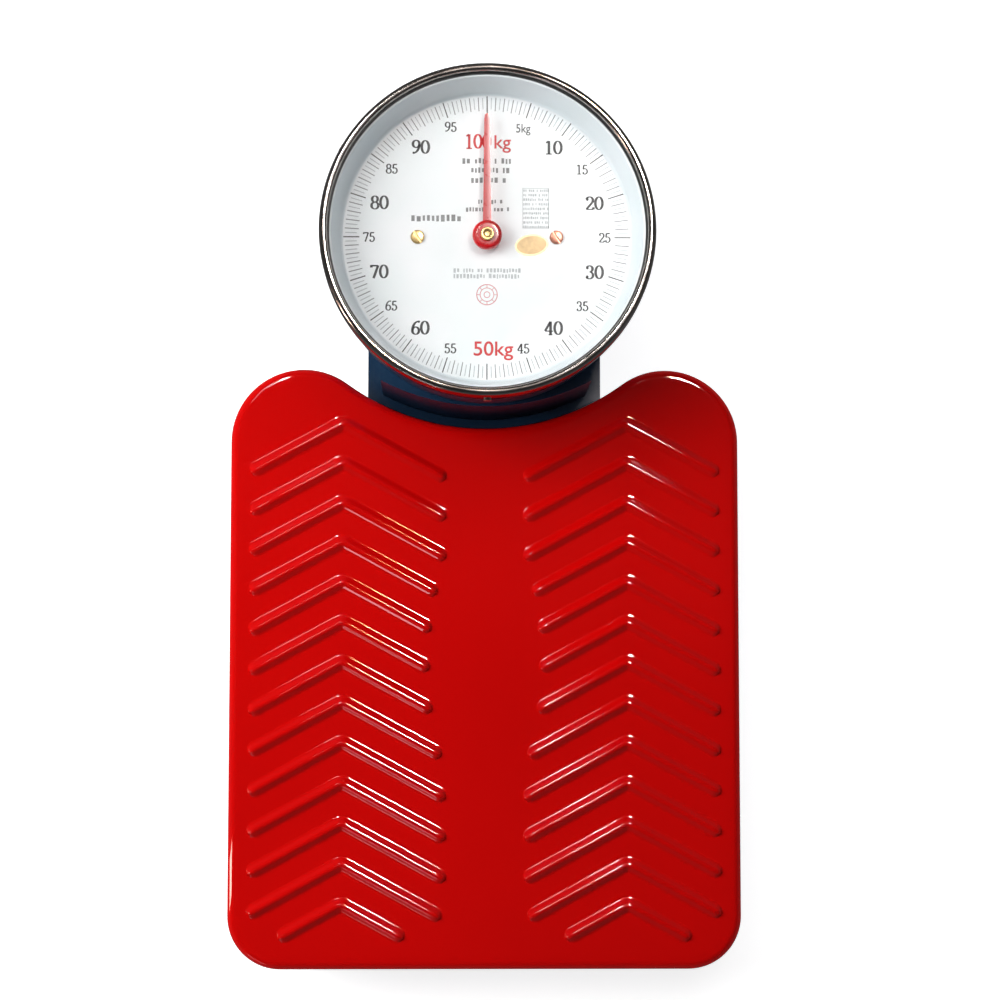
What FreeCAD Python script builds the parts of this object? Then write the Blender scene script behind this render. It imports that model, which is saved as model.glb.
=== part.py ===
"""Platform dial scale: a pressed platform on two levers, whose pull stretches two springs
and turns a pointer through a rocker, a rack and a pinion.

Frame: millimetres, +Z up, X to the right, Y from the front edge towards the dial.
The origin is the middle of the bounding box at floor level.
"""
import FreeCAD, Part
import Sketcher
import math
import os
import re

os.makedirs("parts", exist_ok=True)
doc = FreeCAD.newDocument("platform_dial_scale")
Vector = FreeCAD.Vector
Rotation = FreeCAD.Rotation

# ---------------------------------------------------------------------------
# Driving dimensions: one plain number each
# ---------------------------------------------------------------------------
SIZES = {
    # whole object
    "total_width": 300,
    "sheet_steel": 1.5,
    # platform
    "platform_length": 352,
    "platform_top": 74,
    "platform_skirt": 26,
    "platform_edge_radius": 5,
    "lobe_radius": 43,
    "front_corner_radius": 31,
    "cut_depth": 35,
    # pressed ribs of the platform
    "rib_rows": 13,
    "rib_width": 8.8,
    "rib_rise": 2.8,
    "rib_slope": 28.6,
    "rib_ridge_inset": 66.4,
    "rib_outer_inset": 17,
    "rib_inner_limit": 28.5,
    "rib_rear_setback": 32.4,
    "rib_front_setback": 37.84,
    "rib_front_margin": 18.5,
    "rib_corner": 24,
    "rib_clearing_width": 38,
    "rib_clearing_length": 180,
    "rib_round": 2.2,
    # base
    "foot_height": 12,
    "foot_radius": 13,
    "foot_screw_radius": 2,
    "foot_inset": 27,
    "pan_inset": 8,
    "pan_overlap": 4,
    "tongue_gap": 4,
    "tongue_half_width": 70,
    # neck
    "neck_half_width": 61,
    "neck_gap": 8,
    "neck_reach": 22.5,
    "neck_corner_radius": 14,
    "neck_rise": 38,
    "neck_ledge": 8,
    "neck_flange": 5,
    "screw_radius": 1.5,
    "screw_head": 1.6,
    # dial head
    "drum_radius": 91,
    "drum_height": 56,
    "dial_gap": 6,
    "bezel_wall": 3.5,
    "bezel_overlap": 1.2,
    "bezel_height": 16,
    "bezel_lip": 2.3,
    "glass_thickness": 2.5,
    "gasket_thickness": 1.2,
    "dial_inset": 6,
    "dial_thickness": 1,
    "dial_screw_offset": 39.5,
    "dial_screw_radius": 3.9,
    "trim_lip": 1.5,
    "trim_sheet": 0.9,
    # levers
    "lever_depth": 10,
    "lever_thickness": 4,
    "lever_end": 8,
    "pin_radius": 4,
    "pin_overhang": 12,
    "pin_clearance": 0.3,
    "load_arm": 40,
    "fulcrum_inset": 45,
    "front_fulcrum_inset": 41,
    "front_fulcrum_height": 13.5,
    "nose_offset": 11.5,
    "nose_height": 24.5,
    "nose_half_span": 10,
    "rear_fulcrum_inset": 66,
    "rear_fulcrum_height": 32.5,
    "short_nose_half_span": 60,
    "short_nose_arm": 122.5,
    "pusher_gap": 0.3,
    "cradle_gap": 16,
    "cradle_wall": 5,
    "cradle_length": 16,
    "bearer_gap": 10,
    "member_width": 26,
    "member_depth": 12,
    # springs and zero adjustment
    "crosshead_lift": 10,
    "crosshead_height": 6,
    "crosshead_width": 16,
    "stirrup_wall": 3,
    "stirrup_width": 10,
    "spring_offset": 28,
    "spring_radius": 5,
    "spring_wire": 1,
    "spring_turns": 8,
    "hanger_height": 8,
    "hanger_gap": 4,
    "hanger_drop": 9,
    "bracket_drop": 15,
    "bracket_thickness": 2,
    "bracket_flange": 10,
    "wheel_reach": 4,
    "wheel_thickness": 6,
    "wheel_notches": 48,
    "wheel_notch_radius": 1.2,
    "thread_radius": 3,
    # draw rod, rocker, rack and pinion
    "rod_radius": 2,
    "rocker_x": 22,
    "rocker_lift": 3.5,
    "rocker_arm": 22,
    "rocker_plate": 2,
    "rocker_width": 6,
    "rocker_hub_radius": 3,
    "bracket_width": 20,
    "link_pin_radius": 1.25,
    "link_clearance": 0.45,
    "pitch_radius": 2.5,
    "pinion_teeth": 10,
    "tooth_reach": 0.35,
    "tooth_root": 0.75,
    "tooth_half_width": 0.28,
    "rack_drop": 2.5,
    "rack_height": 4,
    "rack_width": 4,
    "fork_half_width": 4,
    "fork_drop": 4,
    "fork_wall": 0.8,
    "plate_half_width": 33,
    "movement_plate": 2,
    "movement_gap": 0.7,
    "top_plate_gap": 1.8,
    "arbor_radius": 1.25,
    "arbor_clearance": 0.03,
    "bush_wall": 2,
    "slide_clearance": 0.25,
    # pointer
    "needle_lift": 8,
    "needle_thickness": 0.8,
    "needle_width": 5.6,
    "needle_tip_width": 3.2,
    "needle_short": 13.8,
    "needle_reach": 5.1,
    "hub_radius": 8.35,
    "hub_height": 3,
    "nut_radius": 3.85,
}

# Worked out from the driving dimensions; a bare word names a cell of either sheet
LAYOUT = {
    # outline in plan
    "bezel_radius": "drum_radius + bezel_wall",
    "total_length": "platform_length - cut_depth + dial_gap + 2 * bezel_radius",
    "front_edge": "-total_length / 2",
    "rear_edge": "front_edge + platform_length",
    "side_edge": "total_width / 2",
    "lobe_x": "side_edge - lobe_radius",
    "lobe_y": "rear_edge - lobe_radius",
    "corner_x": "side_edge - front_corner_radius",
    "corner_y": "front_edge + front_corner_radius",
    "cut_radius": "(lobe_x ^ 2 + (lobe_radius - cut_depth) ^ 2 - lobe_radius ^ 2) / (2 * cut_depth)",
    "cut_y": "rear_edge - cut_depth + cut_radius",
    "rib_pitch": "(platform_length - rib_rear_setback - rib_front_setback) / (rib_rows - 1)",
    "rib_ridge_x": "side_edge - rib_ridge_inset",
    "rib_outer_x": "side_edge - rib_outer_inset",
    "dial_y": "rear_edge - cut_depth + dial_gap + bezel_radius",
    "neck_front_radius": "cut_radius - neck_gap",
    "neck_rear": "dial_y + neck_reach",
    "foot_front_y": "front_edge + foot_inset",
    "foot_rear_y": "lobe_y",
    "foot_x": "side_edge - foot_inset",
    # heights
    "pan_floor": "foot_height + sheet_steel",
    "skirt_z": "platform_top - platform_skirt",
    "platform_under": "platform_top - sheet_steel",
    "pan_wall_top": "skirt_z + pan_overlap",
    "tongue_top": "skirt_z - tongue_gap",
    "neck_top": "platform_top + neck_rise",
    "drum_top": "neck_top + drum_height",
    "drum_inner": "drum_radius - sheet_steel",
    "drum_floor": "neck_top + sheet_steel",
    "glass_z": "drum_top + gasket_thickness",
    "glass_top": "glass_z + glass_thickness",
    "bezel_top": "glass_top + bezel_lip",
    "bezel_opening": "drum_radius - bezel_overlap",
    # levers
    "fulcrum_half_span": "side_edge - fulcrum_inset",
    "front_fulcrum_y": "front_edge + front_fulcrum_inset",
    "front_fulcrum_z": "pan_floor + front_fulcrum_height",
    "nose_y": "dial_y - nose_offset",
    "nose_z": "pan_floor + nose_height",
    "lever_run": "nose_y - front_fulcrum_y",
    "lever_narrowing": "(fulcrum_half_span - nose_half_span) / lever_run",
    "lever_rise": "(nose_z - front_fulcrum_z) / lever_run",
    "lever_yaw": "atan(lever_narrowing)",
    "lever_pitch": "atan(lever_rise)",
    "front_load_y": "front_fulcrum_y + load_arm",
    "front_load_z": "front_fulcrum_z + lever_rise * load_arm",
    "front_load_x": "fulcrum_half_span - lever_narrowing * load_arm",
    "rear_fulcrum_y": "rear_edge - rear_fulcrum_inset",
    "rear_fulcrum_z": "pan_floor + rear_fulcrum_height",
    "short_nose_y": "rear_fulcrum_y - short_nose_arm",
    "short_narrowing": "(fulcrum_half_span - short_nose_half_span) / short_nose_arm",
    "short_yaw": "atan(short_narrowing)",
    "bearer_offset": "(bearer_gap + short_narrowing * cradle_length) / 2",
    "rear_load_y": "rear_fulcrum_y - load_arm",
    "rear_load_x": "fulcrum_half_span - short_narrowing * load_arm",
    "short_under": "rear_fulcrum_z - lever_depth / 2",
    "bar_x": "fulcrum_half_span - lever_narrowing * (short_nose_y - front_fulcrum_y)",
    "bar_z": "front_fulcrum_z + lever_rise * (short_nose_y - front_fulcrum_y)",
    "bar_top": "bar_z + lever_depth / 2",
    # springs and zero adjustment
    "crosshead_z": "nose_z + crosshead_lift",
    "crosshead_top": "crosshead_z + crosshead_height",
    "bracket_z": "neck_top - bracket_drop",
    "spring_top": "bracket_z - hanger_drop",
    "spring_rise": "spring_top - crosshead_top - 2 * spring_wire",
    "hanger_z": "spring_top - hanger_gap",
    "wheel_z": "bracket_z + bracket_thickness",
    "wheel_radius": "neck_rear - nose_y + wheel_reach",
    # rocker, rack and pinion
    "rocker_z": "drum_floor + rocker_lift",
    "half_travel": "pi * pitch_radius",
    "rocker_swing": "half_travel / rocker_arm * 180 / pi",
    "link_reach": "rocker_arm * (1 - cos(rocker_swing * 1 deg))",
    "rod_x": "rocker_x + rocker_arm - link_reach / 2",
    "fork_x": "rocker_x - half_travel",
    "rack_front": "dial_y + pitch_radius",
    "rack_z": "rocker_z + rocker_arm - rack_drop",
    "rack_top": "rack_z + rack_height",
    "fork_roof": "rocker_z + rocker_arm + link_pin_radius + link_clearance",
    "fork_low": "rack_z - fork_drop",
    "top_plate_z": "rack_top + top_plate_gap",
    # dial and pointer
    "dial_under": "top_plate_z + movement_plate + movement_gap",
    "dial_height": "dial_under + dial_thickness",
    "dial_radius": "drum_inner - dial_inset",
    "needle_z": "dial_height + needle_lift",
    "needle_length": "dial_radius - needle_short",
    "needle_point": "dial_radius - needle_reach",
}


def bound(formula):
    """A formula of bare names, as one that names the sheets' cells."""

    def cell(match):
        word = match.group(0)
        if word in SIZES:
            return "sizes." + word
        if word in LAYOUT:
            return "layout." + word
        return word

    return re.sub(r"[a-z][a-z_]+", cell, formula)


sheet = doc.addObject("Spreadsheet::Sheet", "sizes")
for row, (alias, number) in enumerate(SIZES.items(), start=1):
    sheet.set(f"A{row}", alias)
    sheet.set(f"B{row}", str(number))
    sheet.setAlias(f"B{row}", alias)
layout = doc.addObject("Spreadsheet::Sheet", "layout")
for row, (alias, formula) in enumerate(LAYOUT.items(), start=1):
    layout.set(f"A{row}", alias)
    layout.set(f"B{row}", "=" + bound(formula))
    layout.setAlias(f"B{row}", alias)
doc.recompute()


def amount(formula):
    """The number that a formula of the sheets' names gives."""
    result = layout.evalExpression(bound(formula))
    return float(getattr(result, "Value", result))


# ---------------------------------------------------------------------------
# Small builders
# ---------------------------------------------------------------------------
nodes = []
TURN = {
    "x": Rotation(Vector(0, 1, 0), 90),
    "y": Rotation(Vector(1, 0, 0), -90),
    "z": Rotation(),
}


def node(item, label):
    """Names a finished sub-part; the label is its file's name."""
    item.Label = label
    nodes.append(item)
    return item


def bind(item, **properties):
    for name, formula in properties.items():
        item.setExpression(name, bound(formula))


def put(item, x="0", y="0", z="0"):
    """Binds an object's place."""
    for axis, formula in zip("xyz", (x, y, z)):
        if formula != "0":
            item.setExpression(f".Placement.Base.{axis}", bound(formula))
    return item


def box(low, size):
    """A box from its lowest corner."""
    item = doc.addObject("Part::Box", "box")
    bind(item, Length=size[0], Width=size[1], Height=size[2])
    return put(item, *low)


def centred_box(middle, size):
    """A box given by the middle of its foot (x, y) and its lowest z."""
    low = (f"({middle[0]}) - ({size[0]}) / 2", f"({middle[1]}) - ({size[1]}) / 2", middle[2])
    return box(low, size)


def rod(axis, start, radius, length):
    """A cylinder along an axis, from the middle of its first face."""
    item = doc.addObject("Part::Cylinder", "rod")
    bind(item, Radius=radius, Height=length)
    item.Placement.Rotation = TURN[axis]
    return put(item, *start)


def cut(base, *tools):
    item = doc.addObject("Part::Cut", "cut")
    item.Base = base
    item.Tool = tools[0] if len(tools) == 1 else fuse(*tools)
    return item


def fuse(*shapes):
    item = doc.addObject("Part::MultiFuse", "fuse")
    item.Shapes = list(shapes)
    return item


def group(*shapes):
    """Identical loose pieces kept together as separate solids."""
    item = doc.addObject("Part::Compound", "group")
    item.Links = list(shapes)
    return item


def new_sketch(body, role):
    sketch = body.newObject("Sketcher::SketchObject", "sketch")
    plane = [feature for feature in body.Origin.OriginFeatures if feature.Role == role][0]
    sketch.AttachmentSupport = [(plane, "")]
    sketch.MapMode = "FlatFace"
    return sketch


def pin_point(sketch, curve, end, x, y):
    """Fixes a curve's point at formulas of the sheets."""
    for axis, formula in (("X", x), ("Y", y)):
        kind = "Distance" + axis
        index = sketch.addConstraint(Sketcher.Constraint(kind, -1, 1, curve, end, amount(formula)))
        sketch.setExpression(f"Constraints[{index}]", bound(formula))


def polygon(sketch, points):
    """A closed outline whose corners are bound to the sheets."""
    spots = [Vector(amount(x), amount(y), 0) for x, y in points]
    for start, end in zip(spots, spots[1:] + spots[:1]):
        sketch.addGeometry(Part.LineSegment(start, end))
    for index in range(len(spots)):
        sketch.addConstraint(Sketcher.Constraint("Coincident", index, 2, (index + 1) % len(spots), 1))
    for index, (x, y) in enumerate(points):
        pin_point(sketch, index, 1, x, y)


def turned(points, x="0", y="0"):
    """A body of revolution about a vertical axis, from corners given as (radius, z)."""
    body = doc.addObject("PartDesign::Body", "turned")
    sketch = new_sketch(body, "XZ_Plane")
    polygon(sketch, points)
    revolution = body.newObject("PartDesign::Revolution", "revolution")
    revolution.Profile = sketch
    revolution.ReferenceAxis = (sketch, ["V_Axis"])
    revolution.Angle = 360
    return put(body, x, y)


def disc(radius, low, height, x="0", y="0", bore=None):
    """A turned disc or, with a bore, a ring."""
    inner = bore or "0"
    top = f"({low}) + ({height})"
    return turned([(inner, low), (radius, low), (radius, top), (inner, top)], x, y)


def padded(points, low, height):
    """A prism over a plan outline."""
    body = doc.addObject("PartDesign::Body", "prism")
    polygon(new_sketch(body, "XY_Plane"), points)
    return pad(body, low, height)


def pad(body, low, height):
    """Raises a body's only sketch into a prism whose foot is at the formula low."""
    prism = body.newObject("PartDesign::Pad", "pad")
    prism.Profile = body.Group[0]
    bind(prism, Length=height)
    return put(body, z=low)


def round_edges(body, radius, chosen):
    """Rounds the edges of a body's tip that the test picks."""
    doc.recompute()
    tip = body.Tip
    names = [f"Edge{i}" for i, edge in enumerate(tip.Shape.Edges, start=1) if chosen(edge)]
    fillet = body.newObject("PartDesign::Fillet", "fillet")
    fillet.Base = (tip, names)
    bind(fillet, Radius=radius)
    return body


def side_by_side(make):
    """The left and the right copy of what make(sign) builds."""
    return [make("-"), make("+")]


# ---------------------------------------------------------------------------
# Plan outlines
# ---------------------------------------------------------------------------
def arc(sketch, centre, radius, start, end):
    """Adds an arc, angles in degrees, and fixes its centre and radius to formulas."""
    circle = Part.Circle(Vector(amount(centre[0]), amount(centre[1]), 0), Vector(0, 0, 1), amount(radius))
    index = sketch.addGeometry(Part.ArcOfCircle(circle, math.radians(start), math.radians(end)))
    pin_point(sketch, index, 3, *centre)
    bind_radius(sketch, index, radius)
    return index


def bind_radius(sketch, curve, radius):
    index = sketch.addConstraint(Sketcher.Constraint("Radius", curve, amount(radius)))
    sketch.setExpression(f"Constraints[{index}]", bound(radius))


def line(sketch, start, end):
    return sketch.addGeometry(Part.LineSegment(Vector(*start, 0), Vector(*end, 0)))


def platform_outline(body, inset):
    """The platform's outline in plan, moved inwards: two rounded lobes at the rear with a
    round cut-out for the dial head between them, and two rounded corners at the front."""
    sketch = new_sketch(body, "XY_Plane")
    lobe_x, lobe_y = amount("lobe_x"), amount("lobe_y")
    corner_x, corner_y = amount("corner_x"), amount("corner_y")
    side, front = amount(f"side_edge - ({inset})"), amount(f"front_edge + ({inset})")
    tilt = math.degrees(math.atan2(amount("cut_y") - lobe_y, -lobe_x))
    lobe = f"lobe_radius - ({inset})"
    corner = f"front_corner_radius - ({inset})"
    right_corner = arc(sketch, ("corner_x", "corner_y"), corner, 270, 360)
    right_lobe = arc(sketch, ("lobe_x", "lobe_y"), lobe, 0, tilt)
    left_lobe = arc(sketch, ("-lobe_x", "lobe_y"), lobe, 180 - tilt, 180)
    left_corner = arc(sketch, ("-corner_x", "corner_y"), corner, 180, 270)
    circle = Part.Circle(Vector(0, amount("cut_y"), 0), Vector(0, 0, 1), amount(f"cut_radius + ({inset})"))
    cut_arc = sketch.addGeometry(Part.ArcOfCircle(circle, math.radians(360 - tilt), math.radians(180 + tilt)))
    bind_radius(sketch, cut_arc, f"cut_radius + ({inset})")
    front_line = line(sketch, (-corner_x, front), (corner_x, front))
    right_line = line(sketch, (side, corner_y), (side, lobe_y))
    left_line = line(sketch, (-side, lobe_y), (-side, corner_y))
    joins = [
        (front_line, 2, right_corner, 1),
        (right_corner, 2, right_line, 1),
        (right_line, 2, right_lobe, 1),
        (right_lobe, 2, cut_arc, 2),
        (cut_arc, 1, left_lobe, 1),
        (left_lobe, 2, left_line, 1),
        (left_line, 2, left_corner, 1),
        (left_corner, 2, front_line, 1),
    ]
    for join in joins:
        sketch.addConstraint(Sketcher.Constraint("Tangent", *join))
    return body


def neck_outline(body, inset):
    """The neck in plan: a front wall round the platform's cut-out, straight sides and a
    rear wall with rounded corners."""
    sketch = new_sketch(body, "XY_Plane")
    half = f"neck_half_width - ({inset})"
    rear = f"neck_rear - ({inset})"
    radius = f"neck_front_radius - ({inset})"
    corner = f"neck_corner_radius - ({inset})"
    corner_x = "neck_half_width - neck_corner_radius"
    corner_y = "neck_rear - neck_corner_radius"
    spread = math.degrees(math.asin(amount(half) / amount(radius)))
    front = arc(sketch, ("0", "cut_y"), radius, 270 - spread, 270 + spread)
    right_corner = arc(sketch, (corner_x, corner_y), corner, 0, 90)
    left_corner = arc(sketch, (f"-({corner_x})", corner_y), corner, 90, 180)
    front_y = amount("cut_y") - math.sqrt(amount(radius) ** 2 - amount(half) ** 2)
    right = line(sketch, (amount(half), front_y), (amount(half), amount(corner_y)))
    rear_line = line(sketch, (amount(corner_x), amount(rear)), (-amount(corner_x), amount(rear)))
    left = line(sketch, (-amount(half), amount(corner_y)), (-amount(half), front_y))
    sketch.addConstraint(Sketcher.Constraint("Coincident", front, 2, right, 1))
    sketch.addConstraint(Sketcher.Constraint("Tangent", right, 2, right_corner, 1))
    sketch.addConstraint(Sketcher.Constraint("Tangent", right_corner, 2, rear_line, 1))
    sketch.addConstraint(Sketcher.Constraint("Tangent", rear_line, 2, left_corner, 1))
    sketch.addConstraint(Sketcher.Constraint("Tangent", left_corner, 2, left, 1))
    sketch.addConstraint(Sketcher.Constraint("Coincident", left, 2, front, 1))
    return body


def platform_block(inset, low, height):
    return pad(platform_outline(doc.addObject("PartDesign::Body", "outline"), inset), low, height)


def neck_block(inset, low, height):
    return pad(neck_outline(doc.addObject("PartDesign::Body", "outline"), inset), low, height)


def at_top(edge):
    """True for an edge of a pad's upper face; the pad itself starts at z = 0 of its body."""
    box_of_edge = edge.BoundBox
    return box_of_edge.ZMin > 1 and box_of_edge.ZMax - box_of_edge.ZMin < 0.01


# ---------------------------------------------------------------------------
# Platform
# ---------------------------------------------------------------------------
def rib_line(side, row):
    """The centre line of one rib: two arms that slope forwards from a ridge point, each
    as long as the rib field allows. The field is narrowed by a long oval clearing in the
    middle of the platform and by round corners at the front."""
    ridge_x = amount("rib_ridge_x")
    ridge_y = amount("rear_edge - rib_rear_setback") - row * amount("rib_pitch")
    slope = math.tan(math.radians(amount("rib_slope")))
    field_middle = amount("rear_edge - rib_rear_setback - rib_pitch * (rib_rows - 1) / 2")
    field_front = amount("front_edge + rib_front_margin")
    corner = amount("rib_corner")
    half_width = amount("rib_clearing_width")
    half_length = amount("rib_clearing_length / 2")
    arm_radius = amount("rib_width / 2")

    def inner_limit(y):
        limit = amount("rib_inner_limit")
        along = (y - field_middle) / half_length
        if abs(along) < 1:
            limit = max(limit, half_width * math.sqrt(1 - along**2))
        into_corner = field_front + corner - y
        if into_corner > 0:
            limit += corner - math.sqrt(max(corner**2 - into_corner**2, 0))
        return limit

    def arm_end(direction):
        reach = 0
        step = 0.5
        while True:
            x = ridge_x + direction * (reach + step)
            y = ridge_y - (reach + step) * slope
            outside = x > amount("rib_outer_x") or x < inner_limit(y)
            if outside or y < field_front + arm_radius / 2:
                return Vector(side * (x - direction * step), y + step * slope, 0)
            reach += step

    return [arm_end(1), Vector(side * ridge_x, ridge_y, 0), arm_end(-1)]


def rib_solid(points, width, low, top, rounding):
    """One chevron bar with round ends and a rounded upper edge."""
    outline = Part.makePolygon(points).makeOffset2D(width / 2, 0, False, False)
    bar = Part.Face(outline).extrude(Vector(0, 0, top - low))
    bar.translate(Vector(0, 0, low))
    upper = [edge for edge in bar.Edges if edge.BoundBox.ZMin > top - 0.01]
    return bar.makeFillet(rounding, upper)


def rib_field(width, low, top, rounding):
    """All ribs, as loose solids in one object."""
    solids = []
    for side in (-1, 1):
        for row in range(int(amount("rib_rows"))):
            solids.append(rib_solid(rib_line(side, row), width, low, top, rounding))
    item = doc.addObject("Part::Feature", "ribs")
    item.Shape = Part.makeCompound(solids)
    return item


def platform_plate():
    skin = round_edges(platform_block("0", "skirt_z", "platform_skirt"), "platform_edge_radius", at_top)
    hollow = round_edges(
        platform_block("sheet_steel", "skirt_z", "platform_skirt - sheet_steel"),
        "platform_edge_radius - sheet_steel",
        at_top,
    )
    top, wall = amount("platform_top"), amount("sheet_steel")
    width, rise = amount("rib_width"), amount("rib_rise")
    rounding = amount("rib_round")
    ribs = rib_field(width, top - wall / 2, top + rise, rounding)
    under_ribs = rib_field(width - 2 * wall, top - 2 * wall, top + rise - wall, rounding - wall)
    return node(cut(fuse(cut(skin, hollow), ribs), under_ribs), "platform_plate")


def cross_member(y):
    """A stiffening bar under the platform that carries one pair of bearers."""
    low = ("-fulcrum_half_span - pin_overhang", f"({y}) - member_width / 2", "platform_under - member_depth")
    size = ("2 * (fulcrum_half_span + pin_overhang)", "member_width", "member_depth")
    inner_low = (low[0], f"({y}) - member_width / 2 + sheet_steel * 2", low[2])
    inner_size = (size[0], "member_width - sheet_steel * 4", "member_depth - sheet_steel * 2")
    return cut(box(low, size), box(inner_low, inner_size))


def bearer(sign, x, y, z):
    """A post that hangs beside a lever arm and rests on the load pin with a round notch."""
    middle = (f"{sign}(({x}) + bearer_offset)", y, z)
    top = "platform_under - member_depth"
    post = centred_box(middle, ("cradle_wall", "cradle_length", f"{top} - ({z})"))
    start = (f"{sign}(({x}) + bearer_offset) - cradle_wall", y, z)
    notch = rod("x", start, "pin_radius + pin_clearance", "2 * cradle_wall")
    return cut(post, notch)


def platform_parts():
    platform_plate()
    node(cross_member("front_load_y"), "front_cross_member")
    node(cross_member("rear_load_y"), "rear_cross_member")
    posts = side_by_side(lambda s: bearer(s, "front_load_x", "front_load_y", "front_load_z"))
    posts += side_by_side(lambda s: bearer(s, "rear_load_x", "rear_load_y", "rear_fulcrum_z"))
    node(group(*posts), "platform_bearers")


# ---------------------------------------------------------------------------
# Base pan, feet and fulcrum cradles
# ---------------------------------------------------------------------------
def base_pan():
    outside = platform_block("pan_inset", "foot_height", "pan_wall_top - foot_height")
    inside = platform_block("pan_inset + sheet_steel", "pan_floor", "pan_wall_top - foot_height")
    margin = "tongue_half_width - neck_half_width"
    tongue = tongue_block(f"-({margin})", "foot_height", "tongue_top - foot_height")
    tunnel = tongue_block(f"sheet_steel - ({margin})", "pan_floor", "tongue_top - sheet_steel - pan_floor")
    mouth = neck_block("neck_ledge", "pan_floor", "tongue_top - foot_height")
    holes = [rod("z", (x, y, "0"), "foot_screw_radius", "pan_wall_top") for x, y in FEET]
    holes += [rod("z", (x, y, "pan_floor"), "screw_radius", "tongue_top") for x, y in NECK_SCREWS]
    return node(cut(fuse(outside, tongue), inside, tunnel, mouth, *holes), "base_pan")


def tongue_block(inset, low, height):
    """A prism round the neck, with a straight part that reaches under the platform."""
    half = f"(neck_half_width - ({inset}))"
    return fuse(
        neck_block(inset, low, height), box((f"-{half}", "0", low), (f"2 * {half}", "neck_rear / 2", height))
    )


# the neck's flange on the tongue, and the drum's floor on the neck's roof
FLANGE_X = "(neck_half_width + neck_flange / 2 - 0.2)"
NECK_SCREWS = [(sign + FLANGE_X, y) for sign in ("-", "") for y in ("nose_y - 40", "nose_y + 15")]
DRUM_SCREWS = [(sign + "(neck_half_width - 14)", y) for sign in ("-", "") for y in ("nose_y - 25", "nose_y + 22")]

FEET = [
    ("-foot_x", "foot_front_y"),
    ("foot_x", "foot_front_y"),
    ("-foot_x", "foot_rear_y"),
    ("foot_x", "foot_rear_y"),
]


def rubber_foot(x, y):
    """A tapered foot with a recess for the screw's head."""
    points = [
        ("foot_screw_radius * 2.2", "0"),
        ("foot_radius - 1.5", "0"),
        ("foot_radius", "1.5"),
        ("foot_radius - 2", "foot_height"),
        ("foot_screw_radius", "foot_height"),
        ("foot_screw_radius", "foot_height / 2"),
        ("foot_screw_radius * 2.2", "foot_height / 2"),
    ]
    return turned(points, x, y)


def foot_screw(x, y):
    """A screw from below with a nut on the pan's floor."""
    points = [
        ("0", "foot_height / 2 - 2"),
        ("foot_screw_radius * 2", "foot_height / 2 - 2"),
        ("foot_screw_radius * 2", "foot_height / 2"),
        ("foot_screw_radius", "foot_height / 2"),
        ("foot_screw_radius", "pan_floor"),
        ("foot_screw_radius * 2", "pan_floor"),
        ("foot_screw_radius * 2", "pan_floor + 3"),
        ("0", "pan_floor + 3"),
    ]
    return turned(points, x, y)


def cradle(sign, y, z):
    """A U-shaped bracket on the pan's floor whose two cheeks hold a fulcrum pin in slots
    that are open upwards."""
    middle = (f"{sign}fulcrum_half_span", y, "pan_floor")
    top = f"({z}) + pin_radius / 2 - pan_floor"
    outer = centred_box(middle, ("cradle_gap + 2 * cradle_wall", "cradle_length", top))
    gap = centred_box((middle[0], y, "pan_floor + sheet_steel * 2"), ("cradle_gap", "cradle_length", top))
    across = "cradle_gap + 2 * cradle_wall"
    start = f"{sign}fulcrum_half_span - ({across}) / 2"
    seat = rod("x", (start, y, z), "pin_radius + pin_clearance", across)
    slot = centred_box((middle[0], y, z), (across, "2 * (pin_radius + pin_clearance)", "2 * pin_radius"))
    return cut(outer, gap, seat, slot)


def base_parts():
    base_pan()
    node(group(*[rubber_foot(x, y) for x, y in FEET]), "rubber_feet")
    node(group(*[foot_screw(x, y) for x, y in FEET]), "foot_screws")
    front = side_by_side(lambda s: cradle(s, "front_fulcrum_y", "front_fulcrum_z"))
    node(group(*front), "front_fulcrum_cradles")
    rear = side_by_side(lambda s: cradle(s, "rear_fulcrum_y", "rear_fulcrum_z"))
    node(group(*rear), "rear_fulcrum_cradles")


# ---------------------------------------------------------------------------
# Levers
# ---------------------------------------------------------------------------
def lever_bar(sign, x, y, z, yaw, pitch, reach):
    """A flat bar on edge that starts behind a fulcrum pin and runs, turned by yaw and
    raised by pitch, for the formula reach along +Y (negative for a bar that runs forwards)."""
    item = doc.addObject("Part::Box", "bar")
    bind(item, Length="lever_thickness", Width=f"abs({reach}) + 2 * lever_end", Height="lever_depth")
    backwards = reach.startswith("-")
    turn = ("" if sign == "+" else "-") if not backwards else ("-" if sign == "+" else "")
    start = f"abs({reach}) + lever_end" if backwards else "lever_end"
    place = (
        f"placement(vector({sign}({x}) - lever_thickness / 2; ({y}) - ({start}); ({z}) - lever_depth / 2);"
        f" rotation({turn}({yaw}); 0 deg; {pitch}); vector(lever_thickness / 2; {start}; lever_depth / 2))"
    )
    item.setExpression("Placement", bound(place))
    return item


def cross_pin(sign, x, y, z):
    start = f"{sign}({x}) - pin_overhang"
    return rod("x", (start, y, z), "pin_radius", "2 * pin_overhang")


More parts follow.
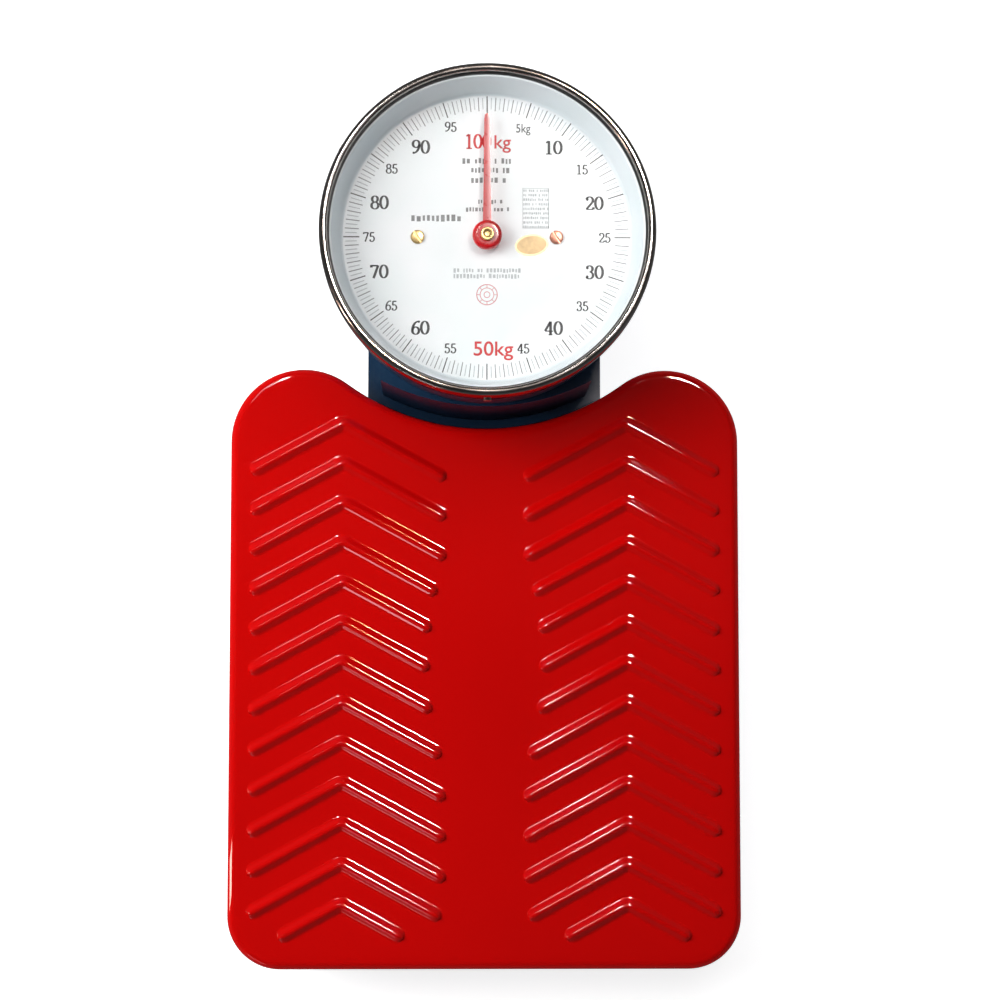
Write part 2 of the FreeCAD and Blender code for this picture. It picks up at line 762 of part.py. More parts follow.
def lever_parts():
    def main_arm(sign):
        reach = "lever_run / cos(lever_yaw) / cos(lever_pitch)"
        spot = (sign, "fulcrum_half_span", "front_fulcrum_y", "front_fulcrum_z")
        bar = lever_bar(*spot, "lever_yaw", "lever_pitch", reach)
        return cut(bar, cross_pin(*spot), cross_pin(sign, "front_load_x", "front_load_y", "front_load_z"))

    nose_hole = rod("x", ("-nose_half_span - lever_end", "nose_y", "nose_z"), "pin_radius", "2 * (nose_half_span + lever_end)")
    node(cut(main_arm("-"), nose_hole), "main_lever_left_arm")
    node(cut(main_arm("+"), nose_hole), "main_lever_right_arm")
    front_pins = side_by_side(lambda s: cross_pin(s, "fulcrum_half_span", "front_fulcrum_y", "front_fulcrum_z"))
    node(group(*front_pins), "main_lever_fulcrum_pins")
    load_pins = side_by_side(lambda s: cross_pin(s, "front_load_x", "front_load_y", "front_load_z"))
    node(group(*load_pins), "main_lever_load_pins")
    node(
        rod("x", ("-nose_half_span - lever_end", "nose_y", "nose_z"), "pin_radius", "2 * (nose_half_span + lever_end)"),
        "main_lever_nose_pin",
    )
    inner = "bar_x - lever_thickness / cos(lever_yaw) / 2 - member_width / 8 * tan(lever_yaw) - pin_clearance"
    node(
        centred_box(("0", "short_nose_y", "bar_z - lever_depth / 2"), (f"2 * ({inner})", "member_width / 4", "lever_depth")),
        "main_lever_cross_bar",
    )

    def short_arm(sign):
        reach = "-short_nose_arm / cos(short_yaw)"
        spot = (sign, "fulcrum_half_span", "rear_fulcrum_y", "rear_fulcrum_z")
        bar = lever_bar(*spot, "short_yaw", "0 deg", reach)
        return cut(bar, cross_pin(*spot), cross_pin(sign, "rear_load_x", "rear_load_y", "rear_fulcrum_z"))

    nose_inner = "short_nose_half_span - lever_thickness - member_width / 4"
    node(short_arm("-"), "short_lever_left_arm")
    node(short_arm("+"), "short_lever_right_arm")
    rear_pins = side_by_side(lambda s: cross_pin(s, "fulcrum_half_span", "rear_fulcrum_y", "rear_fulcrum_z"))
    node(group(*rear_pins), "short_lever_fulcrum_pins")
    load_pins = side_by_side(lambda s: cross_pin(s, "rear_load_x", "rear_load_y", "rear_fulcrum_z"))
    node(group(*load_pins), "short_lever_load_pins")
    plate = centred_box(
        ("0", "short_nose_y", "short_under"), (f"2 * ({nose_inner})", "member_width / 3", "lever_depth")
    )
    finger = rod("z", ("0", "short_nose_y", "bar_top + pusher_gap"), "lever_thickness / 2", "short_under - bar_top - pusher_gap")
    node(fuse(plate, finger), "short_lever_nose_bar")


# ---------------------------------------------------------------------------
# Neck and springs
# ---------------------------------------------------------------------------
def neck_parts():
    height = "neck_top - tongue_top"
    skin = neck_block("0", "tongue_top", height)
    flange = neck_block("-neck_flange", "tongue_top", "sheet_steel")
    hollow = neck_block("sheet_steel", "tongue_top", f"{height} - sheet_steel")
    slot = centred_box(
        ("0", "neck_rear", "wheel_z - link_clearance"),
        ("1.4 * wheel_radius", "4 * sheet_steel", "wheel_thickness + 2 * link_clearance"),
    )
    holes = [rod("z", (x, y, "pan_floor"), "screw_radius", "neck_top") for x, y in NECK_SCREWS + DRUM_SCREWS]
    node(cut(fuse(skin, flange), hollow, slot, top_opening(), *holes), "neck_housing")
    flange_top = "tongue_top + sheet_steel"
    node(group(*[screw(x, y, flange_top, 8) for x, y in NECK_SCREWS]), "neck_screws")
    node(spring_bracket(), "spring_bracket")


def screw(x, y, seat, reach):
    """A round-headed screw that stands on the formula seat and reaches down from it."""
    points = [
        ("0", f"{seat} - {reach}"),
        ("screw_radius", f"{seat} - {reach}"),
        ("screw_radius", seat),
        ("screw_radius + 0.8", seat),
        ("screw_radius + 0.8", f"{seat} + screw_head / 2"),
        ("screw_radius", f"{seat} + screw_head"),
        ("0", f"{seat} + screw_head"),
    ]
    return turned(points, x, y)


def top_opening():
    """The opening through the neck's roof and the drum's floor for the draw rod and rocker."""
    return box(
        ("rocker_x - rocker_width", "nose_y - rocker_width + 1", "neck_top - 2 * sheet_steel"),
        ("rocker_arm + 2 * rocker_width + 3", "2 * rocker_width", "4 * sheet_steel"),
    )


def spring_bracket():
    """A plate across the neck that carries the zero wheel and, through it, the springs."""
    half = "neck_half_width - sheet_steel"
    plate = box(
        (f"-({half})", "nose_y - wheel_radius / 2", "bracket_z"), (f"2 * ({half})", "wheel_radius", "bracket_thickness")
    )
    flanges = side_by_side(
        lambda s: centred_box(
            (f"{s}({half} - bracket_thickness / 2)", "nose_y", "bracket_z - bracket_flange"),
            ("bracket_thickness", "wheel_radius", "bracket_flange"),
        )
    )
    rod_hole = rod("z", ("rod_x", "nose_y", "bracket_z"), "rod_radius + 1.5", "bracket_thickness")
    thread_hole = rod("z", ("0", "nose_y", "bracket_z"), "thread_radius + pin_clearance", "bracket_thickness")
    return cut(fuse(plate, *flanges), rod_hole, thread_hole)


def zero_wheel():
    """A flat wheel with a notched rim; the rim stands out of the neck's rear wall."""
    body = disc("wheel_radius", "wheel_z", "wheel_thickness", "0", "nose_y", "thread_radius + arbor_clearance")
    notches = []
    count = int(amount("wheel_notches"))
    for index in range(count):
        angle = f"{360 / count * index} deg"
        x = f"(wheel_radius + wheel_notch_radius / 3) * cos({angle})"
        y = f"nose_y + (wheel_radius + wheel_notch_radius / 3) * sin({angle})"
        notches.append(rod("z", (x, y, "wheel_z"), "wheel_notch_radius", "wheel_thickness"))
    return node(cut(body, *notches), "zero_thumbwheel")


def hanger_parts():
    """The bar that the springs hang from, and its threaded rod through the zero wheel."""
    low = "hanger_z"
    half = "spring_offset + spring_radius + 4 * spring_wire"
    bar = centred_box(("0", "nose_y", low), (f"2 * ({half})", "crosshead_width", "hanger_height"))
    wells = side_by_side(
        lambda s: rod("z", (f"{s}spring_offset", "nose_y", low), "spring_radius + 2 * spring_wire", "hanger_height")
    )
    pins = side_by_side(
        lambda s: rod(
            "y",
            (f"{s}spring_offset", "nose_y - crosshead_width / 2", "spring_top + hanger_gap - spring_wire"),
            "spring_wire",
            "crosshead_width",
        )
    )
    node(fuse(cut(bar, *wells), *pins), "spring_hanger")
    top = f"{low} + hanger_height"
    node(rod("z", ("0", "nose_y", top), "thread_radius", f"wheel_z + wheel_thickness + 1.5 - ({top})"), "hanger_rod")


def spring(sign):
    """A close helix between the crosshead and the hanger."""
    helix = doc.addObject("Part::Helix", "helix")
    bind(helix, Pitch="spring_rise / spring_turns", Height="spring_rise", Radius="spring_radius")
    put(helix, f"{sign}spring_offset", "nose_y", "crosshead_top + spring_wire")
    section = doc.addObject("Part::Circle", "section")
    bind(section, Radius="spring_wire")
    section.Placement.Rotation = Rotation(Vector(1, 0, 0), 90)
    put(section, f"{sign}spring_offset + spring_radius", "nose_y", "crosshead_top + spring_wire")
    coil = doc.addObject("Part::Sweep", "coil")
    coil.Sections = [section]
    coil.Spine = (helix, [])
    coil.Solid = True
    coil.Frenet = True
    return coil


def crosshead_parts():
    """The bar that the levers pull down: springs and draw rod stand on it."""
    left = "-spring_offset - spring_radius - 4 * spring_wire"
    node(
        box(
            (left, "nose_y - crosshead_width / 2", "crosshead_z"),
            (f"rod_x + 3 * rod_radius - ({left})", "crosshead_width", "crosshead_height"),
        ),
        "spring_crosshead",
    )
    side = "pin_radius + pin_clearance"
    low = f"nose_z - {side.replace('+', '-')} - stirrup_wall"
    height = f"crosshead_z - ({low})"
    plate = centred_box(("0", "nose_y", low), ("stirrup_width", f"2 * ({side} + stirrup_wall)", height))
    eye = centred_box(
        ("0", "nose_y", f"{low} + stirrup_wall"), ("stirrup_width", f"2 * ({side})", f"{height} - 2 * stirrup_wall")
    )
    node(cut(plate, eye), "draw_stirrup")
    head = "rocker_z + half_travel"
    reach = "2 * (link_pin_radius + link_clearance) + link_reach"
    stem = rod("z", ("rod_x", "nose_y", "crosshead_top"), "rod_radius", f"{head} - 5 - crosshead_top")
    block = centred_box(("rod_x", "nose_y", f"{head} - 5"), (f"{reach} + 3.5", "3", "9"))
    eye = centred_box(
        ("rod_x", "nose_y", f"{head} - link_pin_radius - link_clearance"),
        (reach, "3", "2 * (link_pin_radius + link_clearance)"),
    )
    node(cut(fuse(stem, block), eye), "draw_rod")
    node(spring("-"), "left_spring")
    node(spring("+"), "right_spring")


# ---------------------------------------------------------------------------
# Movement: rocker, rack, pinion and their frame
# ---------------------------------------------------------------------------
def rocker_arm_bar(angle, y):
    """One flat arm of the rocker, from the shaft's axis out to its link pin."""
    item = doc.addObject("Part::Box", "arm")
    bind(item, Length="rocker_arm + 2", Width="rocker_plate", Height="rocker_width")
    spot = (
        f"placement(vector(rocker_x; {y}; rocker_z - rocker_width / 2);"
        f" rotation(vector(0; 1; 0); {angle}); vector(0; 0; rocker_width / 2))"
    )
    item.setExpression("Placement", bound(spot))
    return item


def link_pin(angle, start_y, length):
    x = f"rocker_x + rocker_arm * cos({angle})"
    z = f"rocker_z - rocker_arm * sin({angle})"
    return rod("y", (x, start_y, z), "link_pin_radius", length)


def rocker_parts():
    """A bell crank: a level arm for the draw rod and an upright arm for the rack, both
    drawn at no load, half the swing back from their middle position."""
    level = "-rocker_swing * 1 deg"
    upright = "(-90 - rocker_swing) * 1 deg"
    node(rod("y", ("rocker_x", "nose_y + 3", "rocker_z"), "rod_radius", "24"), "rocker_shaft")
    node(rocker_arm_plate(level, "nose_y + 3", "nose_y - 2.5", "6"), "rocker_level_arm")
    upright_y = "rack_front + rack_width + 1"
    node(rocker_arm_plate(upright, upright_y, "rack_front + 0.5", "rack_width + 1"), "rocker_upright_arm")


def rocker_arm_plate(angle, y, pin_y, pin_length):
    """An arm with its hub on the shaft and its link pin at the far end."""
    hub = rod("y", ("rocker_x", y, "rocker_z"), "rocker_hub_radius", "rocker_plate")
    bore = rod("y", ("rocker_x", f"{y} - 1", "rocker_z"), "rod_radius", "rocker_plate + 2")
    return cut(fuse(rocker_arm_bar(angle, y), hub, link_pin(angle, pin_y, pin_length)), bore)


def rack():
    """A toothed bar beside the pinion, with a fork for the rocker's upright arm."""
    bar_low = "rack_front + tooth_root - tooth_reach"
    teeth_from, teeth_to = amount("-2 * pi * pitch_radius - 4"), amount("4")
    body = box(
        (str(teeth_from), bar_low, "rack_z"),
        (f"fork_x + fork_half_width - ({teeth_from})", "rack_width - tooth_root + tooth_reach", "rack_height"),
    )
    fork = box(
        ("fork_x - fork_half_width", "rack_front + 1", "fork_low"),
        ("2 * fork_half_width", "rack_width - 1", "fork_roof + fork_wall - fork_low"),
    )
    gap_half = "(link_pin_radius + link_clearance)"
    gap = box(
        (f"fork_x - {gap_half}", "rack_front", "fork_low"),
        (f"2 * {gap_half}", "rack_width + 1", "fork_roof - fork_low"),
    )
    step = amount("2 * pi * pitch_radius / pinion_teeth")
    teeth = []
    for index in range(int(teeth_from / step), int(teeth_to / step) + 1):
        middle = (index - 0.5) * step
        root, tip = "2 * tooth_half_width", "tooth_half_width"
        front = "rack_front - tooth_reach"
        points = [
            (f"{middle} - {root}", bar_low),
            (f"{middle} - {tip} / 2", front),
            (f"{middle} + {tip} / 2", front),
            (f"{middle} + {root}", bar_low),
        ]
        teeth.append(padded(points, "rack_z", "rack_height"))
    return node(cut(fuse(body, fork, *teeth), gap), "rack")


def pinion():
    """Ten teeth round the pointer's arbor; one faces the rack at no load."""
    root = "pitch_radius - tooth_root"
    core = disc(root, "rack_z - 1", "rack_height + 2", "0", "dial_y", "arbor_radius")
    teeth = []
    count = int(amount("pinion_teeth"))
    for index in range(count):
        body = doc.addObject("PartDesign::Body", "tooth")
        tip = "pitch_radius + tooth_reach"
        points = [
            (f"({root}) * 0.9", "-tooth_half_width * 1.5"),
            (tip, "-tooth_half_width / 2"),
            (tip, "tooth_half_width / 2"),
            (f"({root}) * 0.9", "tooth_half_width * 1.5"),
        ]
        polygon(new_sketch(body, "XY_Plane"), points)
        pad(body, "rack_z - 1", "rack_height + 2")
        body.Placement.Rotation = Rotation(Vector(0, 0, 1), 90 + 360 / count * index)
        teeth.append(put(body, "0", "dial_y", "rack_z - 1"))
    return node(fuse(core, *teeth), "pinion")


def movement_plates():
    """The drum's inner frame: a lower and an upper plate on four pillars, with bushes for
    the arbor, brackets for the rocker and a guide for the rack."""
    front, rear = "dial_y - plate_half_width", "dial_y + plate_half_width"
    size = ("2 * plate_half_width", f"{rear} - ({front})", "movement_plate")
    notch = box(
        ("rocker_x - rocker_width", "nose_y - rocker_width + 1", "drum_floor"),
        ("plate_half_width", "2 * rocker_width - 1", "movement_plate"),
    )
    shaft_slot = centred_box(
        ("rocker_x", "nose_y + 15", "drum_floor"), ("2 * rocker_hub_radius + 3", "27", "movement_plate")
    )
    node(cut(box(("-plate_half_width", front, "drum_floor"), size), notch, shaft_slot), "movement_base_plate")
    bush_hole = rod("z", ("0", "dial_y", "top_plate_z"), "arbor_radius + bush_wall", "movement_plate")
    node(cut(box(("-plate_half_width", front, "top_plate_z"), size), bush_hole), "movement_top_plate")
    low = "drum_floor + movement_plate"
    pillars = []
    for x in ("-plate_half_width + 5", "plate_half_width - 5"):
        for y in (f"{front} + 5", f"{rear} - 5"):
            pillars.append(rod("z", (x, y, low), "3", f"top_plate_z - ({low})"))
    node(group(*pillars), "movement_pillars")
    bore = "arbor_radius + arbor_clearance"
    lower = disc("arbor_radius + bush_wall", low, "4", "0", "dial_y", bore)
    upper = disc("arbor_radius + bush_wall", "top_plate_z - 0.5", "movement_plate + 0.5", "0", "dial_y", bore)
    node(group(lower, upper), "arbor_bushes")
    brackets = []
    for y in ("nose_y + rocker_plate + 5.5", "rack_front + rack_width + rocker_plate + 2.5"):
        cheek = centred_box(
            ("rocker_x", y, low), ("bracket_width", "2", "rocker_z + 4 - drum_floor - movement_plate")
        )
        hole = rod("y", ("rocker_x", f"{y} - 1", "rocker_z"), "rod_radius + arbor_clearance", "2")
        brackets.append(cut(cheek, hole))
    node(group(*brackets), "rocker_brackets")
    guide = box(
        ("-9", "rack_front + 1.5", "rack_z - 3"), ("14", "rack_width + 2.5", "top_plate_z - rack_z + 3")
    )
    groove = box(
        ("-9", "rack_front", "rack_z - slide_clearance"),
        ("14", "rack_width + slide_clearance", "rack_height + 2 * slide_clearance"),
    )
    node(cut(guide, groove), "rack_guide")


def pointer_parts():
    low = "drum_floor + movement_plate + 0.1"
    node(rod("z", ("0", "dial_y", low), "arbor_radius", f"needle_z + hub_height - ({low})"), "pointer_arbor")
    pinion()
    hub = [
        ("arbor_radius", "needle_z - hub_height"),
        ("hub_radius / 2", "needle_z - hub_height"),
        ("hub_radius / 2", "needle_z + needle_thickness"),
        ("hub_radius", "needle_z + needle_thickness"),
        ("hub_radius", "needle_z + needle_thickness + 0.8"),
        ("hub_radius - 0.6", "needle_z + needle_thickness + 1.4"),
        ("arbor_radius", "needle_z + needle_thickness + 1.4"),
    ]
    node(turned(hub, "0", "dial_y"), "pointer_hub")
    blade = padded(
        [
            ("-needle_width / 2", "dial_y"),
            ("needle_width / 2", "dial_y"),
            ("needle_tip_width / 2", "dial_y + needle_length"),
            ("0.3", "dial_y + needle_length + 1"),
            ("0.3", "dial_y + needle_point"),
            ("-0.3", "dial_y + needle_point"),
            ("-0.3", "dial_y + needle_length + 1"),
            ("-needle_tip_width / 2", "dial_y + needle_length"),
        ],
        "needle_z",
        "needle_thickness",
    )
    seat = rod("z", ("0", "dial_y", "needle_z"), "hub_radius / 2", "needle_thickness")
    node(cut(blade, seat), "pointer_needle")
    nut = [
        ("0", "needle_z + hub_height"),
        ("arbor_radius", "needle_z + hub_height"),
        ("arbor_radius", "needle_z + needle_thickness + 1.4"),
        ("nut_radius", "needle_z + needle_thickness + 1.4"),
        ("nut_radius", "needle_z + 4"),
        ("nut_radius - 0.5", "needle_z + 4.5"),
        ("0", "needle_z + 4.5"),
    ]
    node(turned(nut, "0", "dial_y"), "pointer_nut")


# ---------------------------------------------------------------------------
# Dial head
# ---------------------------------------------------------------------------
def dial_head_parts():
    case = [
        ("0", "neck_top"),
        ("drum_radius", "neck_top"),
        ("drum_radius", "drum_top"),
        ("drum_inner", "drum_top"),
        ("drum_inner", "drum_floor"),
        ("0", "drum_floor"),
    ]
    holes = [rod("z", (x, y, "neck_top"), "screw_radius", "sheet_steel") for x, y in DRUM_SCREWS]
    holes += [bezel_screw_hole(angle) for angle in BEZEL_SCREWS]
    node(cut(turned(case, "0", "dial_y"), top_opening(), *holes), "drum_case")
    node(group(*[screw(x, y, "drum_floor", 6) for x, y in DRUM_SCREWS]), "drum_screws")
    posts = side_by_side(
        lambda s: rod("z", (f"{s}dial_screw_offset", "dial_y", "drum_floor"), "4", "dial_under - drum_floor")
    )
    node(group(*posts), "dial_posts")
    hole = rod("z", ("0", "dial_y", "dial_under"), "arbor_radius * 3", "dial_thickness")
    node(cut(disc("dial_radius", "dial_under", "dial_thickness", "0", "dial_y"), hole), "dial_plate")
    screws = []
    for sign in "-+":
        points = [
            ("0", "dial_height"),
            ("dial_screw_radius", "dial_height"),
            ("dial_screw_radius", "dial_height + 0.8"),
            ("dial_screw_radius * 0.67", "dial_height + 1.8"),
            ("0", "dial_height + 1.8"),
        ]
        head = turned(points, f"{sign}dial_screw_offset", "dial_y")
        notch = centred_box((f"{sign}dial_screw_offset", "dial_y", "dial_height + 1"), ("8", "0.9", "1"))
        screws.append(cut(head, notch))
    node(group(*screws), "dial_plate_screws")
    trim = [
        ("dial_radius - trim_lip", "dial_height"),
        ("dial_radius + 0.8", "dial_height"),
        ("drum_inner - pin_clearance", "drum_top"),
        ("drum_inner - pin_clearance - trim_sheet", "drum_top"),
        ("dial_radius", "dial_height + trim_sheet"),
        ("dial_radius - trim_lip", "dial_height + trim_sheet"),
    ]
    node(turned(trim, "0", "dial_y"), "inner_trim_ring")
    node(
        disc("drum_radius", "drum_top", "gasket_thickness", "0", "dial_y", "bezel_opening - 1"), "glass_gasket"
    )
    node(disc("drum_radius", "glass_z", "glass_thickness", "0", "dial_y"), "dial_glass")
    bezel = [
        ("drum_radius + 0.2", "bezel_top - bezel_height"),
        ("bezel_radius - 0.8", "bezel_top - bezel_height"),
        ("bezel_radius", "bezel_top - bezel_height + 0.8"),
        ("bezel_radius", "bezel_top - 1.6"),
        ("bezel_radius - 1.6", "bezel_top"),
        ("bezel_opening + 0.8", "bezel_top"),
        ("bezel_opening", "bezel_top - 0.8"),
        ("bezel_opening", "glass_top"),
        ("drum_radius + 0.2", "glass_top"),
    ]
    holes = [bezel_screw_hole(angle) for angle in BEZEL_SCREWS]
    node(cut(turned(bezel, "0", "dial_y"), *holes), "bezel_ring")
    node(group(*[bezel_screw(angle) for angle in BEZEL_SCREWS]), "bezel_screws")


BEZEL_SCREWS = (30, 150, 270)


def radial_rod(angle, start, radius, length):
    """A cylinder that points away from the dial's axis in the bezel's skirt."""
    item = doc.addObject("Part::Cylinder", "radial")
    bind(item, Radius=radius, Height=length)
    item.Placement.Rotation = Rotation(Vector(0, 0, 1), angle).multiply(TURN["x"])
    along = f"({start}) * cos({angle} deg)"
    across = f"dial_y + ({start}) * sin({angle} deg)"
    return put(item, along, across, "bezel_top - bezel_height + 4")


def bezel_screw_hole(angle):
    return radial_rod(angle, "drum_inner - 2", "screw_radius", "10")


def bezel_screw(angle):
    shank = radial_rod(angle, "drum_inner", "screw_radius", "bezel_radius - drum_inner")
    head = radial_rod(angle, "bezel_radius", "screw_radius + 0.8", "screw_head * 0.75")
    return fuse(shank, head)


def main():
    platform_parts()
    base_parts()
    lever_parts()
    neck_parts()
    zero_wheel()
    hanger_parts()
    crosshead_parts()
    rocker_parts()
    rack()
    movement_plates()
    pointer_parts()
    dial_head_parts()
    doc.recompute()
    for item in doc.Objects:
        if "Invalid" in item.State or "Error" in item.State:
            raise RuntimeError(f"{item.Label} ({item.Name}) did not compute")
    for item in nodes:
        if item.Shape.isNull() or not item.Shape.isValid():
            raise RuntimeError(f"{item.Label} has no valid shape")
    for item in nodes:
        item.Shape.exportStep(f"parts/{item.Label}.step")
    print(len(nodes), "sub-parts written")


main()
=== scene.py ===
"""Visual model of a mechanical platform scale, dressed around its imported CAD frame.

The platform, the bezel, trim, glass, dial and its print, the pointer, the dial's two
screws, the feet and the thumbwheel are built here; the sheet-metal housings, the other
screws and the lever work keep their CAD shapes and get worked finishes. Lengths are in metres, in the CAD frame.
"""

import logging
import math
import random
from dataclasses import dataclass, field
from enum import Enum
from typing import Callable, Iterable, Sequence

import bpy
from mathutils import Matrix, Vector


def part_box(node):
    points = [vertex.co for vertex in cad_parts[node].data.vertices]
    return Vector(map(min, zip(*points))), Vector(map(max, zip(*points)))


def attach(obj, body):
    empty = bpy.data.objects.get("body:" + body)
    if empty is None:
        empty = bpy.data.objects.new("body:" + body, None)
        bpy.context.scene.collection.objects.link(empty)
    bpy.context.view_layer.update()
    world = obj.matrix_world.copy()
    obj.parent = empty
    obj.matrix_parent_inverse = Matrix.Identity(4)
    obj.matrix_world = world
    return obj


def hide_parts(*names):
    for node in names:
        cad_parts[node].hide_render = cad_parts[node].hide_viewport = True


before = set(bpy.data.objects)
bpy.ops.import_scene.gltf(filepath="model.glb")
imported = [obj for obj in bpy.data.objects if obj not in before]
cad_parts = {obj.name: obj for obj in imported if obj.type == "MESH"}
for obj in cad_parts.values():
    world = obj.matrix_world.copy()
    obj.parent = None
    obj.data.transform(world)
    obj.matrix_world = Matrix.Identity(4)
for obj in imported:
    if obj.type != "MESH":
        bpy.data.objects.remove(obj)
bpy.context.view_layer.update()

LOG = logging.getLogger("platform_scale")
MM = 0.001

Colour = tuple[float, float, float]
Point = tuple[float, float, float]
Profile = Sequence[tuple[float, float]]


class Body(Enum):
    """The CAD bodies that the pieces ride on."""

    BASE = "base"
    PLATFORM = "platform"
    POINTER = "pointer"
    ZERO_WHEEL = "zero_wheel"


class Slot(Enum):
    """The record's material slots."""

    RED_ENAMEL = "red_enamel"
    NAVY_ENAMEL = "navy_enamel"
    ZINC_STEEL = "zinc_steel"
    DARK_CHROME = "dark_chrome"
    CLEAR_GLASS = "clear_glass"
    BLACK_RUBBER = "black_rubber"
    DIAL_WHITE = "dial_white"
    TRIM_WHITE = "trim_white"
    BRASS_FITTINGS = "brass_fittings"
    POINTER_RED = "pointer_red"
    SPRING_STEEL = "spring_steel"
    BLACK_MOULDING = "black_moulding"


class LampJob(Enum):
    """What a lamp is for: soft light or reflections."""

    FILL = "fill"
    GLEAM = "gleam"


class Wear(Enum):
    """How a worn edge shows on a finish."""

    NONE = "none"
    THIN = "thin"


# ---------------------------------------------------------------------------
# Finishes
# ---------------------------------------------------------------------------
class Shader:
    """A material whose node tree is written one node at a time."""

    def __init__(self, name: str) -> None:
        """Starts an empty material with an output and Object coordinates.

        Args:
            name: The material's name.
        """
        self.material = bpy.data.materials.new(name)
        self.material.use_nodes = True
        self.tree = self.material.node_tree
        self.tree.nodes.clear()
        self.output = self.tree.nodes.new("ShaderNodeOutputMaterial")
        self.coordinates = self.tree.nodes.new("ShaderNodeTexCoord").outputs["Object"]

    def link(self, source: bpy.types.NodeSocket, target: bpy.types.NodeSocket) -> None:
        """Joins an output to an input."""
        self.tree.links.new(source, target)

    def node(self, kind: str, **settings: object) -> bpy.types.Node:
        """Adds a node and sets its plain properties.

        Args:
            kind: The node's type name.
            **settings: Properties of the node.

        Returns:
            The new node.
        """
        made = self.tree.nodes.new(kind)
        for key, value in settings.items():
            setattr(made, key, value)
        return made

    def surface(self, **values: object) -> bpy.types.Node:
        """Adds the main shader with constants on its own sockets and wires it out.

        Args:
            **values: Socket values, with underscores for the spaces in their names.

        Returns:
            The shader node.
        """
        shader = self.node("ShaderNodeBsdfPrincipled")
        for key, value in values.items():
            shader.inputs[key.replace("_", " ")].default_value = value
        self.link(shader.outputs[0], self.output.inputs["Surface"])
        return shader

    def noise(self, scale: float, detail: float = 3.0, stretch: Point = (1, 1, 1)) -> bpy.types.NodeSocket:
        """A noise pattern on Object coordinates.

        Args:
            scale: Blotches per metre.
            detail: Octaves of finer noise.
            stretch: How much each axis is squeezed, for brushed patterns.

        Returns:
            The pattern's value socket.
        """
        mapping = self.node("ShaderNodeMapping")
        mapping.inputs["Scale"].default_value = stretch
        self.link(self.coordinates, mapping.inputs["Vector"])
        noise = self.node("ShaderNodeTexNoise")
        noise.inputs["Scale"].default_value = scale
        noise.inputs["Detail"].default_value = detail
        self.link(mapping.outputs[0], noise.inputs["Vector"])
        return noise.outputs["Fac"]

    def span(
        self, value: bpy.types.NodeSocket, low: float, high: float, to_low: float = 0, to_high: float = 1
    ) -> bpy.types.NodeSocket:
        """Maps a value from one range to another, clamped.

        Args:
            value: The socket to map.
            low: Where the first range starts.
            high: Where the first range ends.
            to_low: What low becomes.
            to_high: What high becomes.

        Returns:
            The mapped socket.
        """
        mapped = self.node("ShaderNodeMapRange")
        self.link(value, mapped.inputs["Value"])
        for name, number in (("From Min", low), ("From Max", high), ("To Min", to_low), ("To Max", to_high)):
            mapped.inputs[name].default_value = number
        return mapped.outputs["Result"]

    def blend(
        self, amount: bpy.types.NodeSocket, first: Colour | bpy.types.NodeSocket, second: Colour
    ) -> bpy.types.NodeSocket:
        """Mixes two colours by a pattern.

        Args:
            amount: Share of the second colour.
            first: A colour or a socket.
            second: The other colour.

        Returns:
            The mixed colour's socket.
        """
        mix = self.node("ShaderNodeMix", data_type="RGBA")
        self.link(amount, mix.inputs[0])
        if isinstance(first, bpy.types.NodeSocket):
            self.link(first, mix.inputs[6])
        else:
            mix.inputs[6].default_value = (*first, 1)
        mix.inputs[7].default_value = (*second, 1)
        return mix.outputs[2]

    def bump(
        self, height: bpy.types.NodeSocket, depth: float, base: bpy.types.NodeSocket | None = None
    ) -> bpy.types.NodeSocket:
        """Turns a height pattern into a normal.

        Args:
            height: The pattern.
            depth: Its full height in metres.
            base: A coarser bump under it.

        Returns:
            The normal socket.
        """
        bump = self.node("ShaderNodeBump")
        bump.inputs["Strength"].default_value = 1
        bump.inputs["Distance"].default_value = depth
        self.link(height, bump.inputs["Height"])
        if base is not None:
            self.link(base, bump.inputs["Normal"])
        return bump.outputs["Normal"]

    def edges(self, low: float = 0.53, high: float = 0.62) -> bpy.types.NodeSocket:
        """Where the surface turns outwards, from 0 on flats to 1 on sharp edges."""
        return self.span(self.node("ShaderNodeNewGeometry").outputs["Pointiness"], low, high)

    def times(
        self, first: bpy.types.NodeSocket, second: bpy.types.NodeSocket | float
    ) -> bpy.types.NodeSocket:
        """The product of a socket and a socket or a number.

        Args:
            first: A socket.
            second: A socket or a number.

        Returns:
            The product's socket.
        """
        product = self.node("ShaderNodeMath", operation="MULTIPLY")
        self.link(first, product.inputs[0])
        if isinstance(second, bpy.types.NodeSocket):
            self.link(second, product.inputs[1])
        else:
            product.inputs[1].default_value = second
        return product.outputs[0]


PATCH_SPAN = (0.3, 0.7)
GRAIN_SPAN = (0.35, 0.75)
GRAIN_SHARE = 0.35
GRAIN_DETAIL = 4.0
WEAR_SCALE = 260.0
WEAR_SPAN = (0.4, 0.65)
THIN_WEAR_SHARE = 0.45
FINE_DETAIL = 5.0
SMUDGE_RATIO = 3.1
RIPPLE_SCALE = 22.0


